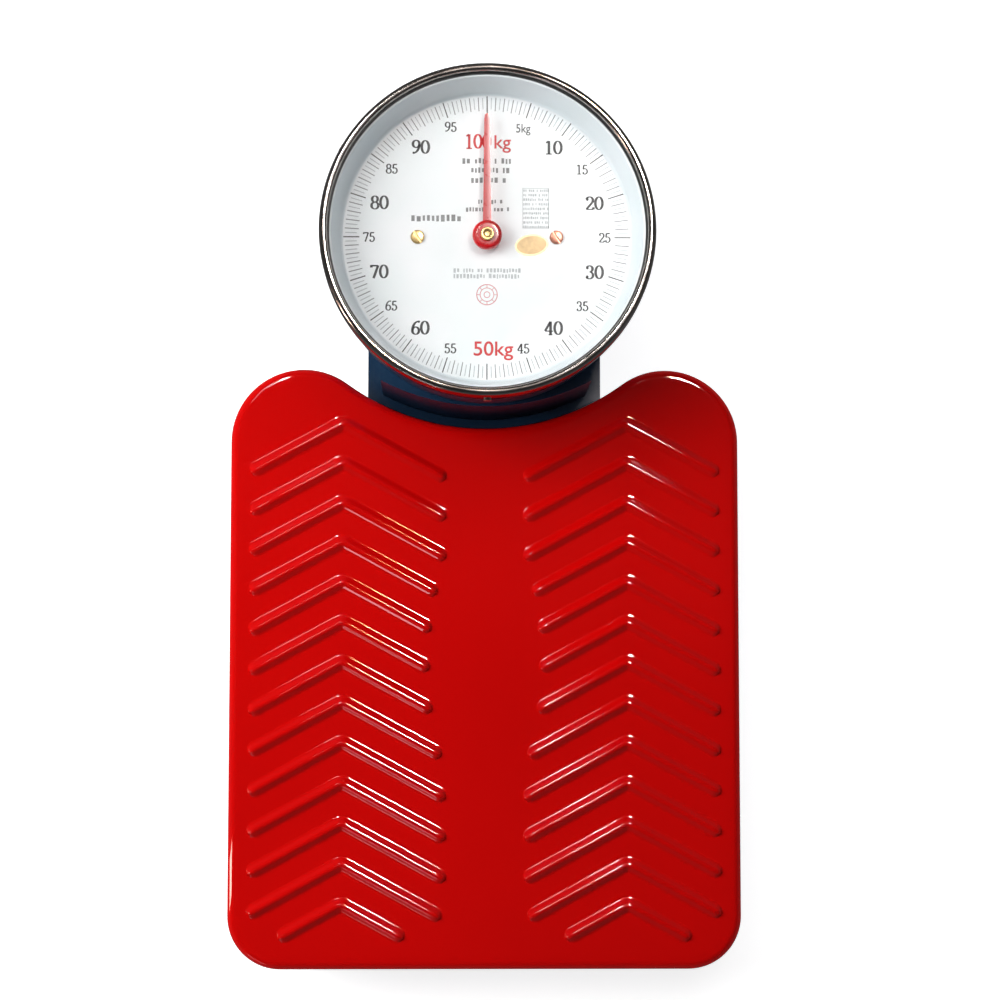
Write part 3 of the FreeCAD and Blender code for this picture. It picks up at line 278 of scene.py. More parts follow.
@dataclass(frozen=True)
class Finish:
    """A surface finish: colour, gloss, grain and wear."""

    name: str
    colour: Colour
    shade: Colour
    roughness: tuple[float, float]
    metallic: float = 0.0
    specular: float = 0.5
    coat: float = 0.0
    coat_roughness: float = 0.05
    blotches: float = 14.0
    grain: float = 900.0
    grain_depth: float = 0.00002
    ripple: float = 0.0
    brushed: Point = (1, 1, 1)
    wear: Wear = Wear.NONE
    wear_colour: Colour = (0.5, 0.5, 0.5)
    glow: float = 0.0

    def make(self) -> bpy.types.Material:
        """Builds the finish as a node material.

        Returns:
            The material.
        """
        shader = Shader(self.name)
        surface = shader.surface(
            Metallic=self.metallic,
            Specular_IOR_Level=self.specular,
            Coat_Weight=self.coat,
            Coat_Roughness=self.coat_roughness,
        )
        patches = shader.span(shader.noise(self.blotches), *PATCH_SPAN)
        grain = shader.noise(self.grain, GRAIN_DETAIL, self.brushed)
        colour = shader.blend(patches, self.colour, self.shade)
        fine = shader.times(shader.span(grain, *GRAIN_SPAN), GRAIN_SHARE)
        colour = shader.blend(fine, colour, self.shade)
        if self.wear is not Wear.NONE:
            breaks = shader.span(shader.noise(WEAR_SCALE, FINE_DETAIL), *WEAR_SPAN)
            worn = shader.times(shader.times(shader.edges(), breaks), THIN_WEAR_SHARE)
            colour = shader.blend(worn, colour, self.wear_colour)
        shader.link(colour, surface.inputs["Base Color"])
        smudges = shader.noise(self.blotches * SMUDGE_RATIO, FINE_DETAIL)
        shader.link(shader.span(smudges, *PATCH_SPAN, *self.roughness), surface.inputs["Roughness"])
        wave = None
        if self.ripple:
            wave = shader.bump(shader.noise(RIPPLE_SCALE, 1.0), self.ripple)
        shader.link(shader.bump(grain, self.grain_depth, wave), surface.inputs["Normal"])
        if self.glow:
            surface.inputs["Emission Color"].default_value = (*self.colour, 1)
            surface.inputs["Emission Strength"].default_value = self.glow
        return shader.material


@dataclass(frozen=True)
class GlassFinish:
    """Clear sheet glass: see-through, with a faint green body and a reflecting skin."""

    name: str
    tint: Colour
    ior: float

    def make(self) -> bpy.types.Material:
        """Builds the glass as a thin see-through layer under a gloss.

        Returns:
            The material.
        """
        shader = Shader(self.name)
        clear = shader.node("ShaderNodeBsdfTransparent")
        film = shader.span(shader.noise(35.0, 5.0), 0.35, 0.75)
        shader.link(shader.blend(film, (1, 1, 1), self.tint), clear.inputs["Color"])
        gloss = shader.node("ShaderNodeBsdfGlossy")
        shader.link(shader.span(shader.noise(120.0, 6.0), 0.4, 0.8, 0.01, 0.06), gloss.inputs["Roughness"])
        shader.link(shader.bump(shader.noise(18.0, 1.0), 0.00002), gloss.inputs["Normal"])
        fresnel = shader.node("ShaderNodeFresnel")
        fresnel.inputs["IOR"].default_value = self.ior
        behind = shader.node("ShaderNodeNewGeometry").outputs["Backfacing"]
        front = shader.span(behind, 0.0, 1.0, 1.0, 0.0)
        mix = shader.node("ShaderNodeMixShader")
        shader.link(shader.times(fresnel.outputs[0], front), mix.inputs[0])
        shader.link(clear.outputs[0], mix.inputs[1])
        shader.link(gloss.outputs[0], mix.inputs[2])
        shader.link(mix.outputs[0], shader.output.inputs["Surface"])
        return shader.material


RED_ENAMEL = Finish(
    "red_enamel", (0.66, 0.0016, 0.0012), (0.58, 0.0012, 0.0010), (0.40, 0.46), coat=1.0,
    coat_roughness=0.035,
    specular=0.0, blotches=5.0, grain=1400.0, grain_depth=0.0000012, ripple=0.00005, wear=Wear.THIN,
    wear_colour=(0.8, 0.02, 0.01),
)
NAVY_ENAMEL = Finish(
    "navy_enamel", (0.012, 0.046, 0.105), (0.009, 0.032, 0.075), (0.38, 0.5), specular=0.25, coat=0.05,
    coat_roughness=0.12,
    blotches=18.0, grain=1300.0, grain_depth=0.000004, ripple=0.00004, wear=Wear.THIN,
    wear_colour=(0.026, 0.062, 0.120),
)
ZINC_STEEL = Finish(
    "zinc_steel", (0.62, 0.62, 0.60), (0.47, 0.47, 0.44), (0.28, 0.45), metallic=1.0, blotches=60.0,
    grain=700.0, grain_depth=0.000012, wear=Wear.THIN, wear_colour=(0.78, 0.78, 0.76),
)
DARK_CHROME = Finish(
    "dark_chrome", (0.50, 0.47, 0.44), (0.36, 0.33, 0.30), (0.12, 0.22), metallic=1.0, blotches=30.0,
    grain=1500.0, grain_depth=0.000003, brushed=(1, 1, 6), wear=Wear.THIN, wear_colour=(0.62, 0.60, 0.57),
)
RUBBER = Finish(
    "black_rubber", (0.018, 0.018, 0.019), (0.035, 0.034, 0.033), (0.62, 0.82), blotches=90.0, grain=1600.0,
    grain_depth=0.00003, specular=0.35, wear=Wear.THIN, wear_colour=(0.09, 0.088, 0.085),
)
GASKET = Finish(
    "gasket_rubber", (0.030, 0.030, 0.031), (0.05, 0.05, 0.05), (0.6, 0.8), blotches=70.0, grain=1500.0,
    grain_depth=0.00002, specular=0.35,
)
DIAL_WHITE = Finish(
    "dial_white", (0.88, 0.90, 0.915), (0.85, 0.875, 0.895), (0.38, 0.5), blotches=9.0, grain=1200.0,
    grain_depth=0.000003, coat=0.25, coat_roughness=0.15,
)
TRIM_WHITE = Finish(
    "trim_white", (0.84, 0.89, 0.92), (0.79, 0.85, 0.89), (0.3, 0.42), blotches=16.0, grain=1000.0,
    grain_depth=0.000004, coat=0.35, coat_roughness=0.1,
)
BRASS = Finish(
    "brass_fittings", (0.62, 0.45, 0.20), (0.42, 0.29, 0.11), (0.30, 0.48), metallic=0.6, blotches=120.0,
    grain=1500.0, grain_depth=0.00001, wear=Wear.THIN, wear_colour=(0.85, 0.66, 0.34),
)
COPPER = Finish(
    "copper_screw", (0.62, 0.30, 0.22), (0.42, 0.17, 0.11), (0.30, 0.48), metallic=0.6, blotches=150.0,
    grain=1500.0, grain_depth=0.00001, wear=Wear.THIN, wear_colour=(0.9, 0.6, 0.5),
)
POINTER_RED = Finish(
    "pointer_red", (0.68, 0.008, 0.014), (0.56, 0.006, 0.010), (0.24, 0.36), coat=0.4, coat_roughness=0.08,
    blotches=90.0, grain=1600.0, grain_depth=0.000003, wear=Wear.THIN, wear_colour=(0.8, 0.05, 0.05),
)
SPRING_STEEL = Finish(
    "spring_steel", (0.40, 0.41, 0.43), (0.26, 0.27, 0.29), (0.2, 0.35), metallic=1.0, blotches=180.0,
    grain=1500.0, grain_depth=0.000008, wear=Wear.THIN, wear_colour=(0.62, 0.62, 0.64),
)
BLACK_MOULDING = Finish(
    "black_moulding", (0.022, 0.022, 0.025), (0.035, 0.035, 0.038), (0.4, 0.55), blotches=60.0, grain=1800.0,
    grain_depth=0.00002, wear=Wear.THIN, wear_colour=(0.10, 0.10, 0.10),
)
BLACK_INK = Finish(
    "black_ink", (0.022, 0.024, 0.028), (0.05, 0.052, 0.056), (0.45, 0.6), blotches=220.0, grain=1800.0,
    grain_depth=0.000002, specular=0.3,
)
GREY_INK = Finish(
    "grey_ink", (0.17, 0.175, 0.18), (0.27, 0.275, 0.28), (0.45, 0.6), blotches=260.0, grain=1800.0,
    grain_depth=0.000002, specular=0.3,
)
PALE_INK = Finish(
    "pale_ink", (0.42, 0.44, 0.46), (0.54, 0.56, 0.58), (0.45, 0.6), blotches=260.0, grain=1800.0,
    grain_depth=0.000002, specular=0.3,
)
RED_INK = Finish(
    "red_ink", (0.62, 0.008, 0.016), (0.70, 0.03, 0.035), (0.45, 0.6), blotches=220.0, grain=1800.0,
    grain_depth=0.000002, specular=0.3,
)
PINK_INK = Finish(
    "pink_ink", (0.66, 0.22, 0.24), (0.74, 0.36, 0.37), (0.45, 0.6), blotches=260.0, grain=1800.0,
    grain_depth=0.000002, specular=0.3,
)
GILT = Finish(
    "gilt_label", (0.33, 0.235, 0.095), (0.22, 0.15, 0.06), (0.30, 0.45), metallic=0.3, blotches=240.0,
    grain=1500.0, grain_depth=0.000008,
)
GILT_RIM = Finish(
    "gilt_rim", (0.56, 0.47, 0.27), (0.42, 0.33, 0.17), (0.25, 0.4), metallic=0.3, blotches=240.0,
    grain=1500.0, grain_depth=0.000008,
)
PALE_FLOOR = Finish(
    "pale_floor", (0.86, 0.86, 0.86), (0.84, 0.84, 0.84), (0.8, 0.9), specular=0.1, blotches=2.0, grain=300.0,
    grain_depth=0.00001, glow=0.93,
)
GLASS = GlassFinish("clear_glass", (0.965, 0.985, 0.98), 1.45)


class FinishShelf:
    """Keeps one material for each finish that the pieces ask for."""

    def __init__(self) -> None:
        """Starts with no materials."""
        self.made: dict[str, bpy.types.Material] = {}

    def get(self, finish: Finish | GlassFinish) -> bpy.types.Material:
        """The finish's material, built the first time it is asked for.

        Args:
            finish: The finish asked for.

        Returns:
            The material.
        """
        if finish.name not in self.made:
            self.made[finish.name] = finish.make()
        return self.made[finish.name]


SHELF = FinishShelf()


# ---------------------------------------------------------------------------
# Mesh work
# ---------------------------------------------------------------------------
class MeshDraft:
    """Vertices and faces in the CAD frame, gathered before they become an object."""

    def __init__(self) -> None:
        """Starts empty."""
        self.points: list[Point] = []
        self.faces: list[tuple[int, ...]] = []
        self.finishes: list[int] = []

    def ring(self, points: Iterable[Point]) -> list[int]:
        """Adds points and gives their numbers.

        Args:
            points: The points, in order.

        Returns:
            The new points' numbers.
        """
        start = len(self.points)
        self.points.extend(tuple(p) for p in points)
        return list(range(start, len(self.points)))

    def strip(self, low: list[int], high: list[int], finish: int = 0, closed: bool = True) -> None:
        """Joins two rings of equal length with quads that face away from low-to-high's right.

        Args:
            low: The first ring, counter-clockwise.
            high: The next ring.
            finish: Material index of the faces.
            closed: Whether the last point joins the first.
        """
        count = len(low)
        for i in range(count if closed else count - 1):
            j = (i + 1) % count
            self.faces.append((low[i], low[j], high[j], high[i]))
            self.finishes.append(finish)

    def cap(self, ring: list[int], up: bool, finish: int = 0) -> None:
        """Closes a flat counter-clockwise ring with one face.

        Args:
            ring: The ring's points.
            up: True for a face that looks along +Z.
            finish: Material index of the face.
        """
        self.faces.append(tuple(ring) if up else tuple(reversed(ring)))
        self.finishes.append(finish)

    def turn(
        self, profile: Profile, centre: Point, sides: int = 96, finish: int = 0,
        wobble: Callable[[float, float], float] | None = None,
    ) -> None:
        """Turns a closed profile round a vertical axis.

        Args:
            profile: (radius, height) points, outside first going up, in metres; a radius
                of 0 closes the shape at a pole.
            centre: The axis foot.
            sides: Points round the axis.
            finish: Material index of the faces.
            wobble: Gives a radius factor from angle and radius, for ribs and notches.
        """
        rings: list[list[int]] = []
        for radius, height in profile:
            if radius <= 0:
                rings.append(self.ring([(centre[0], centre[1], centre[2] + height)]))
                continue
            around = []
            for k in range(sides):
                angle = math.tau * k / sides
                r = radius * (wobble(angle, radius) if wobble else 1)
                around.append(
                    (centre[0] + r * math.cos(angle), centre[1] + r * math.sin(angle), centre[2] + height)
                )
            rings.append(self.ring(around))
        whole = profile[0][0] > 0 and profile[-1][0] > 0
        pairs = list(zip(rings, rings[1:])) + ([(rings[-1], rings[0])] if whole else [])
        for low, high in pairs:
            if len(low) == 1:
                for i in range(sides):
                    self.faces.append((low[0], high[(i + 1) % sides], high[i]))
                    self.finishes.append(finish)
            elif len(high) == 1:
                for i in range(sides):
                    self.faces.append((low[i], low[(i + 1) % sides], high[0]))
                    self.finishes.append(finish)
            else:
                self.strip(low, high, finish)

    def slab(self, outline: Sequence[tuple[float, float]], low: float, high: float, finish: int = 0) -> None:
        """A flat plate of a counter-clockwise outline between two heights.

        Args:
            outline: Points in plan.
            low: Height of the underside.
            high: Height of the top.
            finish: Material index of the faces.
        """
        bottom = self.ring((x, y, low) for x, y in outline)
        top = self.ring((x, y, high) for x, y in outline)
        self.strip(bottom, top, finish)
        self.cap(top, True, finish)
        self.cap(bottom, False, finish)

    def object(
        self, name: str, finishes: Sequence[Finish | GlassFinish], crease: float = 32.0
    ) -> bpy.types.Object:
        """Makes the object, smooth but for edges sharper than the crease angle.

        Args:
            name: The object's name.
            finishes: Its finishes, in the order of the material indexes.
            crease: Degrees at which an edge stays sharp.

        Returns:
            The object, at the origin.
        """
        mesh = bpy.data.meshes.new(name)
        mesh.from_pydata([tuple(p) for p in self.points], [], self.faces)
        for finish in finishes:
            mesh.materials.append(SHELF.get(finish))
        mesh.polygons.foreach_set("material_index", self.finishes)
        mesh.polygons.foreach_set("use_smooth", [True] * len(mesh.polygons))
        mesh.set_sharp_from_angle(angle=math.radians(crease))
        mesh.validate()
        made = bpy.data.objects.new(name, mesh)
        bpy.context.scene.collection.objects.link(made)
        return made


def turned(
    name: str, profile: Profile, centre: Point, sides: int, finish: Finish | GlassFinish, crease: float,
    wobble: Callable[[float, float], float] | None = None,
) -> bpy.types.Object:
    """A piece turned from one profile round a vertical axis.

    Args:
        name: The piece's name.
        profile: (radius, height) points, as MeshDraft.turn takes them.
        centre: The axis foot.
        sides: Points round the axis.
        finish: Its finish.
        crease: Degrees at which an edge stays sharp.
        wobble: Gives a radius factor from angle and radius.

    Returns:
        The piece.
    """
    draft = MeshDraft()
    draft.turn(profile, centre, sides, wobble=wobble)
    return draft.object(name, [finish], crease=crease)


def arc_points(
    centre: tuple[float, float], radius: float, start: float, stop: float, count: int
) -> list[tuple[float, float]]:
    """Points along an arc.

    Args:
        centre: The arc's centre.
        radius: Its radius.
        start: Start angle in degrees.
        stop: End angle in degrees.
        count: How many points, both ends included.

    Returns:
        The points in order.
    """
    found = []
    for k in range(count):
        angle = math.radians(start + (stop - start) * k / (count - 1))
        found.append((centre[0] + radius * math.cos(angle), centre[1] + radius * math.sin(angle)))
    return found


class Tree:
    """A Geometry Nodes tree written one node at a time, with named inputs."""

    def __init__(self, name: str) -> None:
        """Starts a tree with a mesh input, a material input and a mesh output.

        Args:
            name: The tree's name.
        """
        self.group = bpy.data.node_groups.new(name, "GeometryNodeTree")
        self.entry = self.group.nodes.new("NodeGroupInput")
        self.exit = self.group.nodes.new("NodeGroupOutput")
        self.add_input("Shape", "NodeSocketGeometry")
        self.add_input("Finish", "NodeSocketMaterial")
        self.group.interface.new_socket("Shape", in_out="OUTPUT", socket_type="NodeSocketGeometry")

    def add_input(self, name: str, kind: str, value: object | None = None) -> None:
        """Adds a named input with a starting value.

        Args:
            name: The input's name.
            kind: Its socket type.
            value: Its starting value.
        """
        socket = self.group.interface.new_socket(name, in_out="INPUT", socket_type=kind)
        if value is not None:
            socket.default_value = value

    def given(self, name: str) -> bpy.types.NodeSocket:
        """The socket that carries a named input."""
        return self.entry.outputs[name]

    def add(
        self, kind: str, sources: dict[int | str, object] | None = None, **settings: object
    ) -> bpy.types.Node:
        """Adds a node, sets its properties and fills or links its inputs.

        Args:
            kind: The node's type name.
            sources: What each input takes: a socket to link, or a value.
            **settings: Properties of the node.

        Returns:
            The new node.
        """
        made = self.group.nodes.new(kind)
        for key, value in settings.items():
            setattr(made, key, value)
        for key, value in (sources or {}).items():
            if isinstance(value, bpy.types.NodeSocket):
                self.group.links.new(value, made.inputs[key])
            else:
                made.inputs[key].default_value = value
        return made

    def math(self, operation: str, *values: bpy.types.NodeSocket | float) -> bpy.types.NodeSocket:
        """The result of one arithmetic step on sockets or numbers."""
        return self.add("ShaderNodeMath", dict(enumerate(values)), operation=operation).outputs[0]

    def vector(self, x: object, y: object, z: object) -> bpy.types.NodeSocket:
        """A vector from three sockets or numbers."""
        return self.add("ShaderNodeCombineXYZ", {"X": x, "Y": y, "Z": z}).outputs[0]

    def close(self, geometry: bpy.types.NodeSocket) -> None:
        """Ends the tree: real geometry in its finish.

        Args:
            geometry: The geometry that the tree has made.
        """
        real = self.add("GeometryNodeRealizeInstances", {"Geometry": geometry})
        dressed = self.add(
            "GeometryNodeSetMaterial", {"Geometry": real.outputs[0], "Material": self.given("Finish")}
        )
        self.group.links.new(dressed.outputs[0], self.exit.inputs["Shape"])

    def grow(
        self, name: str, seed_mesh: bpy.types.Mesh, finish: Finish, values: dict[
            str, object
        ], crease: float = 32.0
    ) -> bpy.types.Object:
        """Runs the tree on a mesh and keeps the result as a plain mesh object.

        Args:
            name: The result's name.
            seed_mesh: The mesh that the tree starts from.
            finish: The finish of the result.
            values: What each named input is set to.
            crease: Degrees at which an edge stays sharp.

        Returns:
            The finished object, with no modifier.
        """
        carrier = bpy.data.objects.new(name, seed_mesh)
        bpy.context.scene.collection.objects.link(carrier)
        modifier = carrier.modifiers.new("tree", "NODES")
        modifier.node_group = self.group
        names = {
            item.name: item.identifier
            for item in self.group.interface.items_tree
            if item.item_type == "SOCKET" and item.in_out == "INPUT"
        }
        modifier[names["Finish"]] = SHELF.get(finish)
        for key, value in values.items():
            modifier[names[key]] = value
        graph = bpy.context.evaluated_depsgraph_get()
        result = bpy.data.meshes.new_from_object(carrier.evaluated_get(graph), depsgraph=graph)
        bpy.data.objects.remove(carrier)
        result.name = name
        result.polygons.foreach_set("use_smooth", [True] * len(result.polygons))
        result.set_sharp_from_angle(angle=math.radians(crease))
        made = bpy.data.objects.new(name, result)
        bpy.context.scene.collection.objects.link(made)
        return made


def point_mesh(name: str, points: Sequence[Point], facing: Sequence[Point] | None = None) -> bpy.types.Mesh:
    """A mesh of loose points, each with the direction that its instance faces.

    Args:
        name: The mesh's name.
        points: Where the points are.
        facing: A direction for each point; up where it isn't given.

    Returns:
        The mesh.
    """
    mesh = bpy.data.meshes.new(name)
    mesh.from_pydata([tuple(p) for p in points], [], [])
    attribute = mesh.attributes.new("facing", "FLOAT_VECTOR", "POINT")
    for item, direction in zip(attribute.data, facing or [(0, 0, 1)] * len(points)):
        item.vector = direction
    return mesh


def scatter_tree() -> Tree:
    """A tree that sets a copy of one item on each point, turned to face its direction.

    Returns:
        The tree.
    """
    tree = Tree("set_items")
    tree.add_input("Item", "NodeSocketObject")
    tree.add_input("Turn", "NodeSocketFloat", 0.0)
    item = tree.add("GeometryNodeObjectInfo", {"Object": tree.given("Item")})
    facing = tree.add("GeometryNodeInputNamedAttribute", {"Name": "facing"}, data_type="FLOAT_VECTOR")
    random_turn = tree.add(
        "FunctionNodeRandomValue", {2: 0.0, 3: tree.given("Turn"), "Seed": 4}, data_type="FLOAT"
    )
    spin = tree.add("FunctionNodeAxisAngleToRotation", {"Axis": (0, 0, 1), "Angle": random_turn.outputs[1]})
    aim = tree.add(
        "FunctionNodeAlignRotationToVector", {
            "Vector": facing.outputs[0], "Rotation": spin.outputs[0]
        }, axis="Z"
    )
    placed = tree.add(
        "GeometryNodeInstanceOnPoints",
        {"Points": tree.given("Shape"), "Instance": item.outputs["Geometry"], "Rotation": aim.outputs[0]},
    )
    tree.close(placed.outputs[0])
    return tree


def settle(
    piece: bpy.types.Object, body: Body, replaced: Sequence[str] = ()
) -> bpy.types.Object:
    """Puts a finished piece on its body and hides what it stands for.

    Args:
        piece: The finished object.
        body: The body that it rides on.
        replaced: CAD nodes that it stands for.

    Returns:
        The same object.
    """
    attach(piece, body.value)
    if replaced:
        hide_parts(*replaced)
    return piece


# ---------------------------------------------------------------------------
# Platform
# ---------------------------------------------------------------------------
@dataclass
class Platform:
    """The pressed red platform: a shallow tray with two columns of chevron ribs."""

    lobe_radius: float = 43 * MM
    corner_radius: float = 31 * MM
    cut_depth: float = 35 * MM
    edge_radius: float = 5 * MM
    sheet: float = 1.5 * MM
    hem_radius: float = 0.9 * MM
    rib_rise: float = 2.8 * MM
    rib_rows: int = 13
    rib_half_width: float = 5.0 * MM
    rib_pitch: float = 23.48 * MM
    rib_slope: float = 28.6
    rib_ridge_inset: float = 66.4 * MM
    rib_outer_inset: float = 17 * MM
    rib_inner_limit: float = 28.5 * MM
    rib_rear_setback: float = 32.4 * MM
    rib_front_margin: float = 18.5 * MM
    rib_corner: float = 24 * MM
    clearing_half_width: float = 38 * MM
    clearing_half_length: float = 90 * MM
    arm_radius: float = 4.4 * MM
    rib_bend: float = 5 * MM
    rib_root: float = 0.4 * MM
    rib_overrun: float = 6.5 * MM
    rib_step: float = 1.1 * MM
    rib_bend_points: int = 8
    rib_least_scale: float = 0.02
    rib_profile_steps: int = 9
    arm_march: float = 0.5 * MM
    arc_steps: int = 26
    edge_steps: int = 8
    hem_steps: int = 5
    hem_proud: float = 0.05 * MM
    flat_margin: float = 3 * MM
    low: Vector = field(default_factory=lambda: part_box("platform_plate")[0])
    high: Vector = field(default_factory=lambda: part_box("platform_plate")[1])

    @property
    def top(self) -> float:
        """Height of the flat top between the ribs."""
        return self.high.z - self.rib_rise

    def outline(self, inset: float) -> list[tuple[float, float]]:
        """The platform's outline in plan, moved in from its edge.

        Args:
            inset: How far inside the edge.

        Returns:
            Counter-clockwise points.
        """
        side, front, rear = self.high.x, self.low.y, self.high.y
        lobe = (side - self.lobe_radius, rear - self.lobe_radius)
        corner = (side - self.corner_radius, front + self.corner_radius)
        drop = self.lobe_radius - self.cut_depth
        cut = (lobe[0] ** 2 + drop**2 - self.lobe_radius**2) / (2 * self.cut_depth)
        cut_y = rear - self.cut_depth + cut
        meet = math.degrees(math.atan2(cut_y - lobe[1], -lobe[0]))
        n = self.arc_steps
        lobe_r, corner_r, cut_r = self.lobe_radius - inset, self.corner_radius - inset, cut + inset
        points = arc_points(lobe, lobe_r, 0, meet, n)
        points += arc_points((0, cut_y), cut_r, meet + 180, 360 - meet, 2 * n)[1:-1]
        points += arc_points((-lobe[0], lobe[1]), lobe_r, 180 - meet, 180, n)
        points += arc_points((-corner[0], corner[1]), corner_r, 180, 270, n)
        points += arc_points(corner, corner_r, 270, 360, n)
        return points

    def rib_line(self, side: int, row: int) -> list[Point]:
        """The centre line of one rib, from its outer end over the ridge to its inner end.

        Args:
            side: -1 for the left column, 1 for the right.
            row: 0 at the rear.

        Returns:
            Three points at the height of the flat top.
        """
        ridge_x = self.high.x - self.rib_ridge_inset
        ridge_y = self.high.y - self.rib_rear_setback - row * self.rib_pitch
        slope = math.tan(math.radians(self.rib_slope))
        middle = self.high.y - self.rib_rear_setback - self.rib_pitch * (self.rib_rows - 1) / 2
        front = self.low.y + self.rib_front_margin

        def inner_limit(y: float) -> float:
            """Least distance from the middle line at a height on the platform.

            Args:
                y: Distance along the platform.

            Returns:
                The distance in metres.
            """
            limit = self.rib_inner_limit
            along = (y - middle) / self.clearing_half_length
            if abs(along) < 1:
                limit = max(limit, self.clearing_half_width * math.sqrt(1 - along**2))
            into = front + self.rib_corner - y
            if into > 0:
                limit += self.rib_corner - math.sqrt(max(self.rib_corner**2 - into**2, 0))
            return limit

        def arm_end(direction: int) -> Point:
            """Where an arm leaves the rib field.

            Args:
                direction: 1 for the outer arm, -1 for the inner.

            Returns:
                The arm's last point.
            """
            reach, step = 0.0, self.arm_march
            while True:
                x = ridge_x + direction * (reach + step)
                y = ridge_y - (reach + step) * slope
                outside = x > self.high.x - self.rib_outer_inset or x < inner_limit(y)
                if outside or y < front + self.arm_radius / 2:
                    return (side * (x - direction * step), y + step * slope, self.top)
                reach += step

        run = self.rib_overrun * math.cos(math.radians(self.rib_slope))
        drop = self.rib_overrun * math.sin(math.radians(self.rib_slope))
        outer, inner = arm_end(1), arm_end(-1)
        return [
            (outer[0] + side * run, outer[1] - drop, self.top),
            (side * ridge_x, ridge_y, self.top),
            (inner[0] - side * run, inner[1] - drop, self.top),
        ]

    def rib_tree(self) -> Tree:
        """The tree that presses ribs along centre lines, with round ends and a soft bend.

        Returns:
            The tree.
        """
        tree = Tree("pressed_ribs")
        tree.add_input("Profile", "NodeSocketObject")
        tree.add_input("Bend", "NodeSocketFloat", self.rib_bend)
        tree.add_input("End", "NodeSocketFloat", self.rib_half_width)
        tree.add_input("Step", "NodeSocketFloat", self.rib_step)
        line = tree.add("GeometryNodeMeshToCurve", {0: tree.given("Shape")}).outputs[0]
        line = tree.add(
            "GeometryNodeFilletCurve", {
                "Curve": line, "Count": self.rib_bend_points, "Radius": tree.given("Bend")
            }, mode="POLY"
        ).outputs[0]
        line = tree.add(
            "GeometryNodeResampleCurve", {"Curve": line, "Length": tree.given("Step")}, mode="LENGTH"
        ).outputs[0]
        line = tree.add("GeometryNodeSetCurveNormal", {"Curve": line}, mode="Z_UP").outputs[0]
        along = tree.add("GeometryNodeSplineParameter").outputs["Length"]
        whole = tree.add("GeometryNodeSplineLength").outputs["Length"]
        nearest = tree.math("MINIMUM", along, tree.math("SUBTRACT", whole, along))
        share = tree.math("MINIMUM", tree.math("DIVIDE", nearest, tree.given("End")), 1.0)
        back = tree.math("SUBTRACT", 1.0, share)
        round_end = tree.math("SQRT", tree.math("SUBTRACT", 1.0, tree.math("MULTIPLY", back, back)))
        radius = tree.math("MAXIMUM", round_end, self.rib_least_scale)
        shape = tree.add("GeometryNodeObjectInfo", {"Object": tree.given("Profile")}).outputs["Geometry"]
        rib = tree.add(
            "GeometryNodeCurveToMesh",
            {"Curve": line, "Profile Curve": shape, "Scale": radius, "Fill Caps": True},
        ).outputs[0]
        tree.close(rib)
        return tree

    def rib_profile(self) -> bpy.types.Object:
        """The rib's cross section, hump towards -Y because the sweep turns it over, closed below.

        Returns:
            The profile as a curve object, to be removed after use.
        """
        steps = self.rib_profile_steps
        points = []
        for k in range(2 * steps + 1):
            u = k / steps - 1
            points.append((u * self.rib_half_width, -self.rib_rise * math.cos(math.pi * u / 2) ** 2))
        points += [(self.rib_half_width, self.rib_root), (-self.rib_half_width, self.rib_root)]
        curve = bpy.data.curves.new("rib_profile", "CURVE")
        spline = curve.splines.new("POLY")
        spline.points.add(len(points) - 1)
        for spot, (x, y) in zip(spline.points, points):
            spot.co = (x, y, 0, 1)
        spline.use_cyclic_u = True
        made = bpy.data.objects.new("rib_profile", curve)
        bpy.context.scene.collection.objects.link(made)
        return made

    def build_tray(self) -> bpy.types.Object:
        """The tray: flat top, rounded edge, skirt and a rolled hem, inside and out.

        Returns:
            The tray.
        """
        draft = MeshDraft()
        steps = self.edge_steps
        rings: list[list[int]] = []

        def level(inset: float, z: float) -> None:
            """Adds the outline at an inset and a height."""
            rings.append(draft.ring((x, y, z) for x, y in self.outline(inset)))

        outer = self.edge_radius
        inner = self.edge_radius - self.sheet
        top, under, hem = self.top, self.top - self.sheet, self.hem_radius
        level(outer + self.flat_margin, under)
        for k in range(steps + 1):
            angle = math.pi / 2 * (1 - k / steps)
            level(self.sheet + inner * (1 - math.cos(angle)), under - inner * (1 - math.sin(angle)))
        level(self.sheet, self.low.z + 3 * MM)
        for k in range(self.hem_steps + 1):
            angle = -math.pi * k / self.hem_steps
            level(hem * (1 + math.cos(angle)) + self.hem_proud, self.low.z + hem * (1 + math.sin(angle)))
        level(self.hem_proud, self.low.z + 2.4 * MM)
        level(0, self.low.z + 3.2 * MM)
        for k in range(steps + 1):
            angle = math.pi / 2 * k / steps
            level(outer * (1 - math.cos(angle)), top - outer * (1 - math.sin(angle)))
        level(outer + self.flat_margin, top)
        for low, high in zip(rings, rings[1:]):
            draft.strip(low, high)
        draft.cap(rings[-1], True)
        draft.cap(rings[0], False)
        return draft.object("platform_tray", [RED_ENAMEL], crease=50)

    def build_ribs(self) -> bpy.types.Object:
        """All ribs as one mesh, grown along their centre lines.

        Returns:
            The ribs.
        """
        points: list[Point] = []
        edges: list[tuple[int, int]] = []
        for side in (-1, 1):
            for row in range(self.rib_rows):
                start = len(points)
                points += self.rib_line(side, row)
                edges += [(start, start + 1), (start + 1, start + 2)]
        lines = bpy.data.meshes.new("rib_lines")
        lines.from_pydata(points, edges, [])
        profile = self.rib_profile()
        values = {
            "Profile": profile, "Bend": self.rib_bend, "End": self.rib_half_width, "Step": self.rib_step
        }
        made = self.rib_tree().grow("platform_ribs", lines, RED_ENAMEL, values, crease=60)
        bpy.data.objects.remove(profile)
        return made

